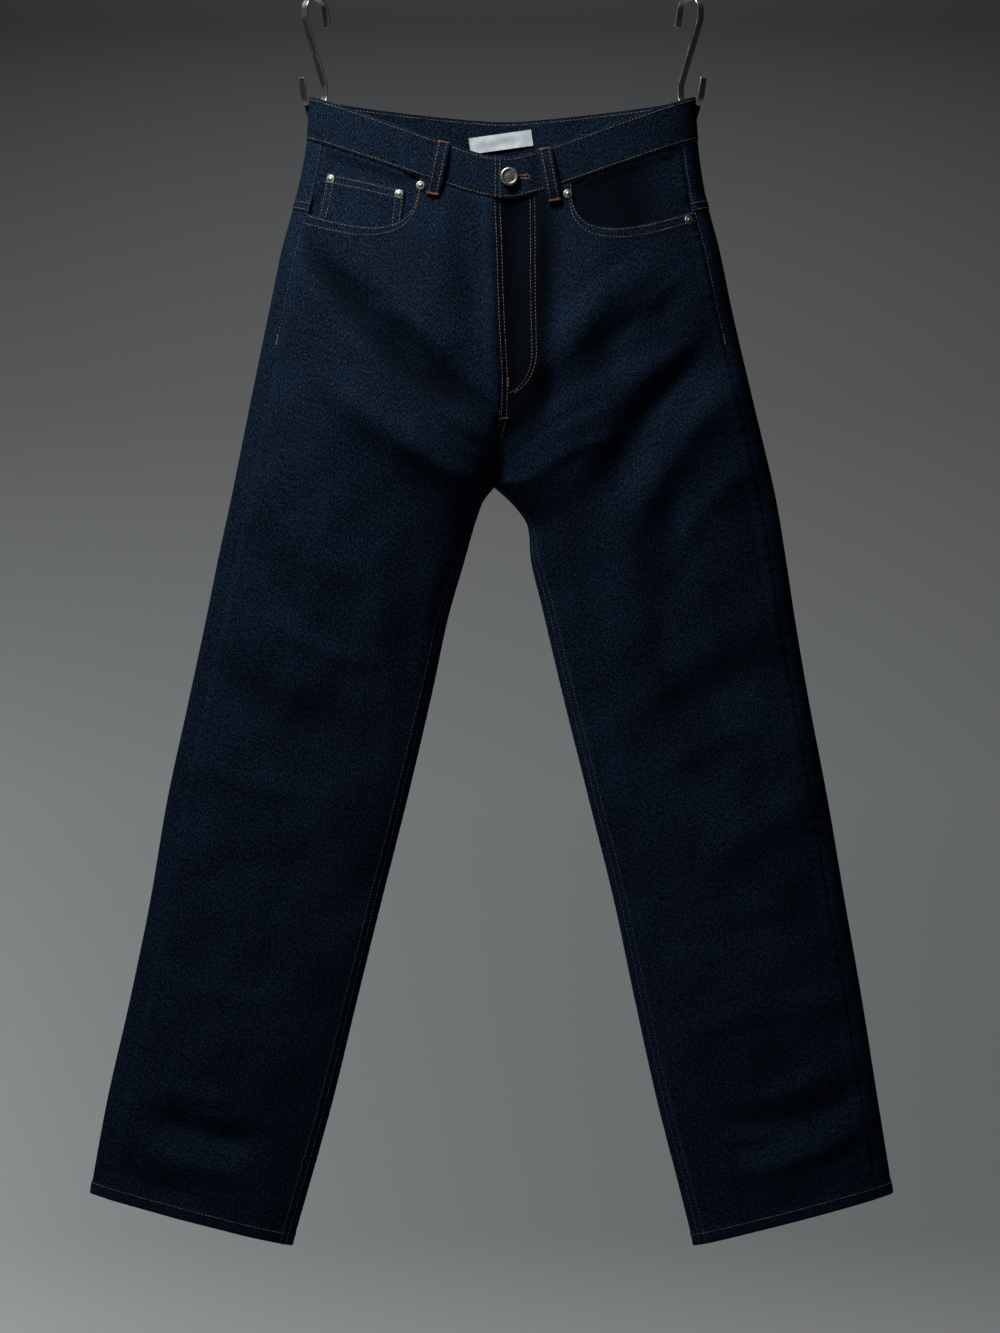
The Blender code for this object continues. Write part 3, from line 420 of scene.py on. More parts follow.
@dataclass
class Form:
    """The surface that all the cloth lies on. It repeats the solids' sizes, and adds the finer creases."""

    waist_top: float = 0.0974
    band_height: float = 0.042
    yoke_side: float = 0.205
    yoke_centre: float = 0.222
    yoke_dip: Pair = (0.8, 2.0)  # the turns between which the yoke's seam goes down
    fly_end: float = 0.33
    fly_fade: float = 0.03  # the height in which the fly's lift ends
    fly_shares: Pair = (0.1, 0.26)  # of the half's width, where the lift ends
    fly_lap: float = 0.011
    lap_end: float = 0.315  # the level where the lap has narrowed to nothing
    fly_lift: float = 0.001
    crotch: float = 0.47
    front_tuck: float = 0.398  # how far below the rail the front begins to close round each leg
    back_tuck: float = 0.34
    softness: float = 0.12  # of the rows' dip at the centre, as a share of the half's width
    hem: float = 1.1435
    hem_depth: float = 0.012
    seam_gap: float = 0.0003
    side_seam_in: float = 0.016
    inseam_in: float = 0.004
    inseam_settled: float = 0.6
    side_line_y: float = -0.0196
    blunt_levels: Pair = (0.415, 0.62)  # between which a leg's section turns oval
    bluntest: float = 0.6
    fold_fade: float = 0.25  # of a fold's length, in which it comes up or dies away at each end
    swell_levels: Pair = (0.2, 0.3)  # between which the swell sets in
    back_swell: float = 1.2
    turn_step: float = 0.006  # to each side of a place, where its directions are measured
    level_step: float = 0.001
    swell: Unevenness = Unevenness()

    def __post_init__(self) -> None:
        """Makes the smooth curves through the tables."""
        self.band_bottom = self.waist_top + self.band_height
        self.side_x = {half: column(SIDES, "below", f"{half.side}_side") for half in Half}
        self.centre_x = column(SIDES, "below", "centre")
        self.inseam_x = {half: column(INSEAMS, "below", f"{half.side}_inner") for half in Half}
        self.front_depth = column(SECTIONS, "level", "front_depth")
        self.back_depth = column(SECTIONS, "level", "back_depth")
        self.front_drop = column(SECTIONS, "level", "front_drop")
        self.back_drop = column(SECTIONS, "level", "back_drop")

    def inner_x(self, half: Half, below: Array) -> Array:
        """The inner edge of a half: the centre seams, then the leg's own inner edge."""
        return np.where(below < self.crotch, self.centre_x(below), self.inseam_x[half](below))

    @staticmethod
    def share(turn: Array) -> Array:
        """How far across the half a turn lies: 0 at the inner edge, 1 at the side."""
        return np.where(turn < 0, -1.0, 1.0) * (1 - np.cos(np.pi * turn)) / 2

    @staticmethod
    def turn(share: Array) -> Array:
        """The turn on the front at a share of the half's width."""
        return np.sign(share) * np.arccos(np.clip(1 - 2 * np.abs(share), -1, 1)) / np.pi

    def fold_height(self, on_back: Array, x: Array, below: Array) -> Array:
        """The sum of all folds and creases of that face.

        Args:
            on_back: Whether each place is on the back.
            x: How far to the viewer's right it lies.
            below: How far below the rail it lies.

        Returns:
            How far the cloth stands out there.
        """
        total = np.zeros_like(x)
        for fold in FOLDS + CREASES:
            run_x, run_down = fold.end_x - fold.start_x, fold.end_below - fold.start_below
            length = math.hypot(run_x, run_down)
            along = ((x - fold.start_x) * run_x + (below - fold.start_below) * run_down) / length**2
            off = ((below - fold.start_below) * run_x - (x - fold.start_x) * run_down) / length
            off = off - fold.sag * math.copysign(1, run_x) * np.sin(np.pi * np.clip(along, 0, 1))
            fade = self.fold_fade
            taper = ease(along, -fade, fade) * (1 - ease(along, 1 - fade, 1 + fade))
            rise = fold.height * np.exp(-((off / fold.width) ** 2)) * taper
            total += np.where(on_back == fold.on_back, rise, 0.0)
        return total

    def leg_fullness(self, share: Array, level: Array) -> Array:
        """The profile of a leg's face from inseam to side: blunt at the crotch, oval below."""
        bluntness = self.bluntest + (1 - self.bluntest) * ease(level, *self.blunt_levels)
        widest = bluntness / (1 + bluntness)
        peak = widest**bluntness * (1 - widest)
        share = np.clip(share, 0, 1)
        return np.sqrt(share**bluntness * (1 - share) / peak)

    def point(self, half: Half, turn: Array, level: Array, bare: bool = False) -> Array:
        """Points of the panels' outer face.

        Args:
            half: Which half of the garment.
            turn: The place along the row.
            level: The row.
            bare: Whether to leave out the folds.

        Returns:
            The points, with X, Y and Z last.
        """
        turn, level = np.broadcast_arrays(np.asarray(turn, float), np.asarray(level, float))
        share = self.share(turn)
        on_back = (turn > 1) & (turn <= 2)
        drop = np.where(on_back, self.back_drop(level), self.front_drop(level))
        inner_below = level + drop
        tuck = ease(inner_below, np.where(on_back, self.back_tuck, self.front_tuck), self.crotch)
        inner = self.inner_x(half, inner_below) + half * self.seam_gap / 2
        x = inner + (self.side_x[half](level) - inner) * share
        soft = self.softness * (1 - tuck)
        rise = (np.sqrt(share**2 + soft**2) - soft) / (np.sqrt(1 + soft**2) - soft)
        below = level + drop * (1 - rise)
        depth = np.where(on_back, self.back_depth(level), self.front_depth(level))
        hip = np.sqrt(np.clip(1 - share**2, 0, 1))
        fullness = (1 - tuck) * hip + tuck * self.leg_fullness(share, level)
        bulge = depth * fullness
        if not bare:
            strength = np.where(on_back, self.back_swell, 1.0) * ease(level, *self.swell_levels)
            swell = self.swell.at(x, below, 1.0) * strength
            bulge = bulge + (self.fold_height(on_back, x, below) + swell) * ease(fullness, 0.0, 0.6)
        if half == Half.LEFT:
            above = 1 - ease(level, self.fly_end - self.fly_fade, self.fly_end)
            on_fly = (1 - ease(share, *self.fly_shares)) * above
            bulge = bulge + np.where(on_back, 0.0, self.fly_lift * on_fly)
        y = self.side_line_y + np.where(on_back, bulge, -bulge)
        return np.stack([x, y, -below], axis=-1)

    def frame(self, half: Half, turn: Array, level: Array) -> tuple[Array, Array, Array]:
        """Points, the directions along the row away from the inner edge, and the outward normals."""
        turn, level = np.broadcast_arrays(np.asarray(turn, float), np.asarray(level, float))
        drop = np.where(turn > 1, self.back_drop(level), self.front_drop(level))
        closed_leg = level + drop >= self.crotch - TINY
        fly_row = level < self.fly_end
        low = np.maximum(turn - self.turn_step, np.where(closed_leg | fly_row, -np.inf, 0.0))
        high = np.minimum(turn + self.turn_step, np.where(closed_leg, np.inf, 2.0))
        along = unit(self.point(half, high, level) - self.point(half, low, level))
        above, under = level - self.level_step, level + self.level_step
        down = self.point(half, turn, under) - self.point(half, turn, above)
        return self.point(half, turn, level), along, unit(np.cross(along, down)) * -half

    def moved(self, half: Half, turn: Array, level: Array, distance: float) -> Array:
        """The turn that lies a distance further along the row, or back along it if negative."""
        turn, level = np.broadcast_arrays(np.asarray(turn, float), np.asarray(level, float))
        start = self.point(half, turn, level)
        near, far = np.zeros_like(turn), np.full_like(turn, 0.2)
        for _ in range(16):
            middle = (near + far) / 2
            moved = self.point(half, turn + math.copysign(1, distance) * middle, level)
            short = np.linalg.norm(moved - start, axis=-1) < abs(distance)
            near, far = np.where(short, middle, near), np.where(short, far, middle)
        return turn + math.copysign(1, distance) * near

    def half_width(self, half: Half, level: Array) -> Array:
        """How wide the half is on its front, from its inner edge to its side."""
        return np.abs(self.side_x[half](level) - self.inner_x(half, level + self.front_drop(level)))

    def side_seam(self, half: Half, level: Array) -> Array:
        """The turn of the side seam, which lies a little on the front."""
        return self.turn(1 - self.side_seam_in / self.half_width(half, level))

    def front_start(self, half: Half, level: Array) -> Array:
        """Where a front panel's rows begin: at the fly's edge, the centre, or the inseam."""
        lap = self.fly_lap * np.clip((self.lap_end - level) / (self.lap_end - self.band_bottom), 0, 1)
        inseam = self.inseam_in * ease(level + self.front_drop(level), self.crotch, self.inseam_settled)
        return self.turn((inseam - half * lap) / self.half_width(half, level))

    def on_leg(self, level: Array) -> Array:
        """Whether a row is below the crotch, where each leg is closed."""
        return level + self.front_drop(level) >= self.crotch - TINY

    def yoke_seam(self, turn: Array) -> Array:
        """The level of the yoke's lower seam, which dips to the centre back."""
        return self.yoke_side + (self.yoke_centre - self.yoke_side) * ease(turn, *self.yoke_dip)


# ---- finishes


class Paint:
    """A node material while it is being put together."""

    def __init__(self, name: str) -> None:
        """Makes an empty material, with its node tree and its Principled shader."""
        self.material = bpy.data.materials.new(name)
        self.material.use_nodes = True
        self.tree = self.material.node_tree
        self.shader = self.tree.nodes["Principled BSDF"]

    def node(self, kind: str, settings: dict | None = None, **links: object) -> bpy.types.Node:
        """Adds a node, with its settings and what goes into it.

        Args:
            kind: The node's type, without its ShaderNode prefix.
            settings: Its properties, by name.
            **links: Its inputs by name, with underscores for spaces, or by index after an underscore: an
                output socket to link, or a value.

        Returns:
            The node.
        """
        node = self.tree.nodes.new("ShaderNode" + kind)
        for name, value in (settings or {}).items():
            setattr(node, name, value)
        for name, value in links.items():
            key = int(name[1:]) if name[1:].isdigit() else name.replace("_", " ")
            if isinstance(value, Socket):
                self.tree.links.new(value, node.inputs[key])
            else:
                node.inputs[key].default_value = value
        return node

    def metres(self) -> Socket:
        """The piece's own UV map, which is in metres, across the grain and along it."""
        return self.node("UVMap", {"uv_map": "grain"}).outputs["UV"]

    def place(self) -> Socket:
        """The place in the object's own frame."""
        return self.node("TexCoord").outputs["Object"]

    def mark(self, name: str) -> Socket:
        """A value that the mesh carries at its points."""
        return self.node("Attribute", {"attribute_name": name}).outputs["Fac"]

    def noise(self, place: Socket, scale: float, detail: float, **more: float) -> Socket:
        """Adds a noise texture."""
        return self.node("TexNoise", Vector=place, Scale=scale, Detail=detail, **more).outputs["Fac"]

    def stretched(self, place: Socket, size: Pair, detail: float, shift: float = 0.0) -> Socket:
        """Adds a noise of a real size across and along the grain."""
        scale, moved = (1 / size[0], 1 / size[1], 1.0), (shift, shift, shift)
        scaled = self.node("Mapping", Vector=place, Scale=scale, Location=moved).outputs["Vector"]
        return self.noise(scaled, 1.0, detail, Roughness=0.6)

    def ribs(self, place: Socket, pitch: float, direction: str, **more: float) -> Socket:
        """Adds bands with a real distance between them."""
        inputs = {"Vector": place, "Scale": math.tau / BAND_FREQUENCY / pitch, **more}
        return self.node("TexWave", {"bands_direction": direction}, **inputs).outputs["Fac"]

    def spread_out(self, value: Socket, low: float, high: float, start: float, end: float) -> Socket:
        """Maps low to start and high to end."""
        limits = {"From_Min": low, "From_Max": high, "To_Min": start, "To_Max": end}
        return self.node("MapRange", Value=value, **limits).outputs["Result"]

    def mix(self, share: object, first: object, second: object, colours: bool = False) -> Socket:
        """Adds a mix of two values, or of two colours."""
        kind, low, output = ("RGBA", 6, 2) if colours else ("FLOAT", 2, 0)
        inputs = {"_0": share, f"_{low}": first, f"_{low + 1}": second}
        return self.node("Mix", {"data_type": kind}, **inputs).outputs[output]

    def ramp(self, factor: Socket, *stops: tuple[float, str]) -> Socket:
        """Adds a colour ramp with its stops, each a position and an sRGB hex colour."""
        node = self.node("ValToRGB", Fac=factor)
        elements = node.color_ramp.elements
        while len(elements) < len(stops):
            elements.new(0.5)
        for element, (position, colour) in zip(elements, stops):
            element.position = position
            element.color = srgb(colour)
        return node.outputs["Color"]

    def relief(self, height: Socket, strength: float, distance: float) -> None:
        """Bumps the surface."""
        bump = self.node("Bump", Height=height, Strength=strength, Distance=distance)
        self.tree.links.new(bump.outputs["Normal"], self.shader.inputs["Normal"])

    def finished(self, colour: Socket, **surface: object) -> Material:
        """Sets the shader's colour and other inputs, to sockets or values, and returns the material."""
        self.tree.links.new(colour, self.shader.inputs["Base Color"])
        for name, value in surface.items():
            target = self.shader.inputs[name.replace("_", " ")]
            if isinstance(value, Socket):
                self.tree.links.new(value, target)
            else:
                target.default_value = value
        return self.material


@dataclass(frozen=True)
class Denim:
    """Raw ring-spun denim: a rope-dyed warp over a pale weft, never washed.

    The uneven warp yarns give fine streaks along the grain and now and then a long slub. The weft shows
    between them as pale flecks. The twill's steps are really 0.7 mm apart, and are drawn 2 mm apart so
    that they show. Rubbed crests are paler. Where the mesh's hollow mark is set, in the troughs of folds
    and in patches that lie in shadow, the colour is darkened towards the deep one: painted shade.
    """

    name: str = "raw_indigo_denim"
    deep: str = "#010409"
    warp: str = "#081322"
    worn: str = "#182b42"
    weft: str = "#627a92"
    sheen_tint: str = "#8fa6c4"
    tones: tuple[float, float, float] = (0.39, 0.5, 0.61)  # the shades at which deep, warp and worn lie
    fleck_limits: Pair = (0.56, 0.74)  # the noise at which flecks begin, and are full
    flecks: float = 0.26
    rub: float = 0.3
    # how far the hollow mark darkens the cloth towards the deep colour: painted shade
    shelter: float = 0.84
    heather: Pair = (0.0013, 0.0034)  # across and along the grain
    streak: Pair = (0.0012, 0.4)
    slub: Pair = (0.003, 0.05)
    fleck: Pair = (0.0012, 0.0017)
    blotch: Pair = (0.05, 0.08)
    twill: float = 0.002
    twill_angle: float = math.radians(-28)
    roughness: float = 0.9
    specular: float = 0.05
    sheen: float = 0.012
    sheen_roughness: float = 0.45
    relief: float = 0.00025

    def make(self) -> Material:
        """Builds the material on the cloth's own UV map."""
        paint = Paint(self.name)
        grain = paint.metres()
        heather = paint.stretched(grain, self.heather, 3.0)
        streak = paint.stretched(grain, self.streak, 1.0, 3.0)
        slub = paint.stretched(grain, self.slub, 1.0, 5.0)
        fleck = paint.stretched(grain, self.fleck, 1.0, 9.0)
        turned = paint.node("Mapping", Vector=grain, Rotation=(0.0, 0.0, self.twill_angle)).outputs["Vector"]
        twill = paint.ribs(turned, self.twill, "X", Distortion=1.2, Detail=1.0, Detail_Scale=0.6)
        shade = paint.mix(0.17, heather, paint.mix(0.3, streak, slub))
        shade = paint.mix(0.12, shade, paint.stretched(grain, self.blotch, 2.0, 7.0))
        shade = paint.mix(0.08, shade, twill)
        dyed = paint.ramp(shade, *zip(self.tones, (self.deep, self.warp, self.worn)))
        shown = paint.spread_out(fleck, *self.fleck_limits, 0.0, self.flecks)
        flecked = paint.mix(shown, dyed, srgb(self.weft), colours=True)
        rubbed = paint.spread_out(paint.mark("crest"), 0.15, 1.0, 0.0, self.rub)
        rubbed_cloth = paint.mix(rubbed, flecked, srgb(self.worn), colours=True)
        # painted shade: the hollow mark darkens the cloth towards the deep colour
        painted_shade = paint.spread_out(paint.mark("hollow"), 0.0, 1.0, 0.0, self.shelter)
        paint.relief(paint.mix(0.35, paint.mix(0.35, heather, twill), fleck), 0.9, self.relief)
        return paint.finished(
            paint.mix(painted_shade, rubbed_cloth, srgb(self.deep), colours=True), Roughness=self.roughness,
            Specular_IOR_Level=self.specular, Sheen_Weight=self.sheen,
            Sheen_Roughness=self.sheen_roughness, Sheen_Tint=srgb(self.sheen_tint),
        )


@dataclass(frozen=True)
class CottonThread:
    """Core-spun topstitching thread: matt, with a twist that shows as slight changes of tone."""

    name: str
    dark: str
    light: str
    roughness: float = 0.62
    sheen: float = 0.15

    def make(self) -> Material:
        """Builds the material on Object coordinates: stitches a few millimetres apart differ in tone."""
        paint = Paint(self.name)
        place = paint.place()
        tone = paint.noise(place, 140.0, 2.0, Roughness=0.6)
        twist = paint.node("TexWave", {"bands_direction": "DIAGONAL"}, Vector=place, Scale=900.0)
        paint.relief(twist.outputs["Fac"], 0.4, 0.0001)
        colour = paint.ramp(tone, (0.36, self.dark), (0.64, self.light))
        return paint.finished(colour, Roughness=self.roughness, Sheen_Weight=self.sheen)


@dataclass(frozen=True)
class StampedMetal:
    """Plated brass buttons and rivets, tumbled to a dull pewter with darker hollows."""

    name: str = "tumbled_pewter_plate"
    hollow: str = "#7d7e79"
    face: str = "#b9b9b1"
    smoothest: float = 0.32
    roughest: float = 0.56

    def make(self) -> Material:
        """Builds the material on Object coordinates."""
        paint = Paint(self.name)
        place = paint.place()
        pits = paint.noise(place, 1400.0, 3.0, Roughness=0.6)
        colour = paint.ramp(paint.noise(place, 320.0, 2.0), (0.3, self.hollow), (0.62, self.face))
        paint.relief(pits, 0.35, 0.00012)
        rough = paint.spread_out(pits, 0.3, 0.7, self.smoothest, self.roughest)
        return paint.finished(colour, Roughness=rough, Metallic=1.0)


@dataclass(frozen=True)
class BrushedStrip:
    """Stainless strip, brushed along its length before it was bent: bright, with fine lengthwise lines."""

    name: str = "brushed_steel_strip"
    dark: str = "#a4a39f"
    light: str = "#cfcdc7"
    line: Pair = (0.00035, 0.02)  # across and along the strip
    smoothest: float = 0.26
    roughest: float = 0.46
    anisotropy: float = 0.5

    def make(self) -> Material:
        """Builds the material on the strip's own UV map."""
        paint = Paint(self.name)
        lines = paint.stretched(paint.metres(), self.line, 3.0)
        paint.relief(lines, 0.25, 0.00006)
        rough = paint.spread_out(lines, 0.3, 0.7, self.smoothest, self.roughest)
        colour = paint.ramp(lines, (0.3, self.dark), (0.7, self.light))
        return paint.finished(colour, Roughness=rough, Metallic=1.0, Anisotropic=self.anisotropy)


@dataclass(frozen=True)
class WovenSatin:
    """White polyester satin ribbon: smooth and shiny along its floats, with a fine rib across."""

    name: str = "white_satin_ribbon"
    shade: str = "#b9c4cc"
    light: str = "#e6ecef"
    rib: float = 0.0009
    roughness: float = 0.42
    sheen: float = 0.25

    def make(self) -> Material:
        """Builds the material on the ribbon's own UV map."""
        paint = Paint(self.name)
        ribbon = paint.metres()
        paint.relief(paint.ribs(ribbon, self.rib, "Y", Distortion=0.4), 0.35, 0.00012)
        colour = paint.ramp(paint.noise(ribbon, 90.0, 2.0), (0.3, self.shade), (0.7, self.light))
        return paint.finished(colour, Roughness=self.roughness, Sheen_Weight=self.sheen)


@dataclass(frozen=True)
class HerringboneTape:
    """The zip's woven cotton tape, with a fine diagonal rib."""

    name: str = "woven_zip_tape"
    dark: str = "#0b0d14"
    light: str = "#232a38"
    rib: float = 0.0016
    roughness: float = 0.8

    def make(self) -> Material:
        """Builds the material on the tape's own UV map."""
        paint = Paint(self.name)
        ribs = paint.ribs(paint.metres(), self.rib, "DIAGONAL")
        paint.relief(ribs, 0.5, 0.0002)
        colour = paint.ramp(ribs, (0.2, self.dark), (0.8, self.light))
        return paint.finished(colour, Roughness=self.roughness)


class Wardrobe:
    """Every finish, made once."""

    def __init__(self) -> None:
        """Builds the materials."""
        self.denim = Denim().make()
        self.tan_thread = CottonThread("tan_topstitch_thread", "#4a3725", "#9a8062").make()
        self.navy_thread = CottonThread("navy_seam_thread", "#232a38", "#4b5566").make()
        self.copper_thread = CottonThread("copper_bartack_thread", "#54290f", "#8f5530").make()
        self.white_thread = CottonThread("white_label_thread", "#9aa2a6", "#d8dcdd").make()
        self.pewter = StampedMetal().make()
        self.steel = BrushedStrip().make()
        self.satin = WovenSatin().make()
        self.tape = HerringboneTape().make()


# ---- cloth


def dress(piece: Piece, finish: Material, slot: str, *nodes: str) -> None:
    """Gives a piece its finish, makes it ride on the body, and says what it stands for.

    Args:
        piece: The piece.
        finish: Its material.
        slot: The record's material slot that it takes its finish from. Not used.
        *nodes: The solids that it replaces.
    """
    piece.data.materials.append(finish)
    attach(piece, BODY)
    if nodes:
        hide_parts(*nodes)
    log.info("%s: %d faces, %s", piece.name, len(piece.data.polygons), finish.name)


def add_object(data: bpy.types.ID) -> Piece:
    """Adds an object to the scene, with its data's name."""
    thing = bpy.data.objects.new(data.name, data)
    bpy.context.scene.collection.objects.link(thing)
    return thing


def add_solid(bm: bmesh.types.BMesh, mesh: bpy.types.Mesh, sharp: float) -> Piece:
    """Adds a closed mesh as an object, with its normals outwards.

    Args:
        bm: The mesh's faces, which are freed.
        mesh: Where they go.
        sharp: The angle in degrees up to which the shading is smooth.

    Returns:
        The object.
    """
    bmesh.ops.recalc_face_normals(bm, faces=bm.faces[:])
    if bm.calc_volume(signed=True) < 0:
        bmesh.ops.reverse_faces(bm, faces=bm.faces[:])
    bm.to_mesh(mesh)
    bm.free()
    mesh.shade_smooth()
    mesh.set_sharp_from_angle(angle=math.radians(sharp))
    return add_object(mesh)


def lattice_object(
    name: str, face: Array, back: Array, grain: Array, crest: Array | None = None, hollow: Array | None = None
) -> Piece:
    """Makes a closed sheet between two lattices of points.

    Args:
        name: The object's name.
        face: The outer points, rows by columns by 3.
        back: The inner points.
        grain: The UV map in metres, rows by columns by 2.
        crest: How rubbed the cloth is at each point, 0 to 1.
        hollow: How much painted shade each point takes, 0 to 1: the depth of a fold, and shaded patches.

    Returns:
        The object.
    """
    rows, columns = face.shape[:2]
    bm = bmesh.new()
    bmesh.ops.create_grid(bm, x_segments=columns - 1, y_segments=rows - 1, size=0.5)
    bmesh.ops.extrude_face_region(bm, geom=bm.faces[:], use_keep_orig=True)
    mesh = bpy.data.meshes.new(name)
    bm.to_mesh(mesh)
    bm.free()
    flat = np.empty(len(mesh.vertices) * 3)
    mesh.vertices.foreach_get("co", flat)
    flat = flat.reshape(-1, 3)
    c = np.rint((flat[:, 0] + 0.5) * (columns - 1)).astype(int)
    r = np.rint((flat[:, 1] + 0.5) * (rows - 1)).astype(int)
    outer = np.arange(len(flat)) < rows * columns
    points = np.where(outer[:, None], face[r, c], back[r, c])
    mesh.vertices.foreach_set("co", points.ravel())
    corners = np.empty(len(mesh.loops), int)
    mesh.loops.foreach_get("vertex_index", corners)
    mesh.uv_layers.new(name="grain").data.foreach_set("uv", grain[r, c][corners].ravel())
    for mark, values in (("crest", crest), ("hollow", hollow)):
        marks = np.zeros(len(flat)) if values is None else np.where(outer, values[r, c], 0.0)
        mesh.attributes.new(mark, "FLOAT", "POINT").data.foreach_set("value", marks)
    mesh.update()
    bm = bmesh.new()
    bm.from_mesh(mesh)
    return add_solid(bm, mesh, sharp=50)


@dataclass(frozen=True)
class Seam:
    """How a piece's edge is sewn: a folded allowance under it, and the puckers that the stitching pulls."""

    allowance: float
    rise: float
    pucker: float
    pitch: float
    row: float  # the stitching's distance from the edge
    seed: float
    slant: float = 0.0  # a roped hem's waves lean this far along for each metre in
    fold_softness: Pair = (0.0008, 0.0016)  # before and past the allowance's end
    spread: Pair = (0.9, 0.0035)  # of the puckers: a share of the row's distance, and more

    def on(self, half: Half) -> "Seam":
        """The seam on one half: leaning its way, and with waves of its own."""
        return replace(self, seed=self.seed + half, slant=self.slant * half)

    def height(self, off: Array, along: Array) -> Array:
        """How far the cloth stands out.

        Args:
            off: The distance from the edge.
            along: The distance along it.

        Returns:
            The height, in metres.
        """
        before, past = self.fold_softness
        fold = self.rise * (1 - ease(off, self.allowance - before, self.allowance + past))
        near = np.exp(-(((off - self.row) / (self.spread[0] * self.row + self.spread[1])) ** 2))
        return fold + self.pucker * near * waves(along + off * self.slant, self.pitch, self.seed)


# Each piece's sewn edges. The columns are Seam's fields, from the allowance to the seed and the slant.
SEAMS = {
    "front": {
        Edge.TOP: Seam(0.012, 0.0003, 0.00022, 0.0075, 0.005, 1.3),
        Edge.END: Seam(0.009, 0.00045, 0.0003, 0.011, 0.003, 2.2),
        Edge.START: Seam(0.011, 0.00045, 0.0003, 0.0085, 0.005, 3.1),
        Edge.BOTTOM: Seam(0.012, 0.0006, 0.00045, 0.0125, 0.007, 4.7, 0.7),
    },
    "back": {
        Edge.TOP: Seam(0.0, 0.0, 0.00022, 0.008, 0.003, 5.3),
        Edge.START: Seam(0.0, 0.0, 0.0003, 0.011, 0.002, 2.2),
        Edge.END: Seam(0.011, 0.0003, 0.00026, 0.0085, 0.004, 3.1),
        Edge.BOTTOM: Seam(0.012, 0.0006, 0.00045, 0.0125, 0.007, 6.7, -0.7),
    },
    "yoke": {
        Edge.BOTTOM: Seam(0.012, 0.0005, 0.00026, 0.008, 0.005, 5.3),
        Edge.START: Seam(0.0, 0.0, 0.00028, 0.01, 0.003, 7.2),
        Edge.END: Seam(0.01, 0.0003, 0.00024, 0.008, 0.004, 8.4),
    },
    "back_pocket": {
        Edge.TOP: Seam(0.014, 0.0004, 0.0002, 0.0075, 0.01, 10.1),
        Edge.START: Seam(0.01, 0.0003, 0.00026, 0.0075, 0.004, 10.5),
        Edge.END: Seam(0.01, 0.0003, 0.00026, 0.0075, 0.004, 10.7),
        Edge.BOTTOM: Seam(0.01, 0.0003, 0.00026, 0.0075, 0.004, 10.9),
    },
    "coin": {
        Edge.TOP: Seam(0.011, 0.0005, 0.00018, 0.0065, 0.005, 9.1),
        Edge.START: Seam(0.009, 0.0003, 0.00014, 0.0065, 0.004, 9.7),
        Edge.END: Seam(0.009, 0.0003, 0.00014, 0.0065, 0.004, 9.9),
    },
    "waistband": {
        Edge.TOP: Seam(0.0, 0.0, 0.0002, 0.0082, 0.004, 11.3),
        Edge.BOTTOM: Seam(0.0, 0.0, 0.00026, 0.0076, 0.003, 12.9),
    },
}


def seams_on(half: Half, piece: str) -> dict[Edge, Seam]:
    """The seams of a piece on one half."""
    return {edge: seam.on(half) for edge, seam in SEAMS[piece].items()}


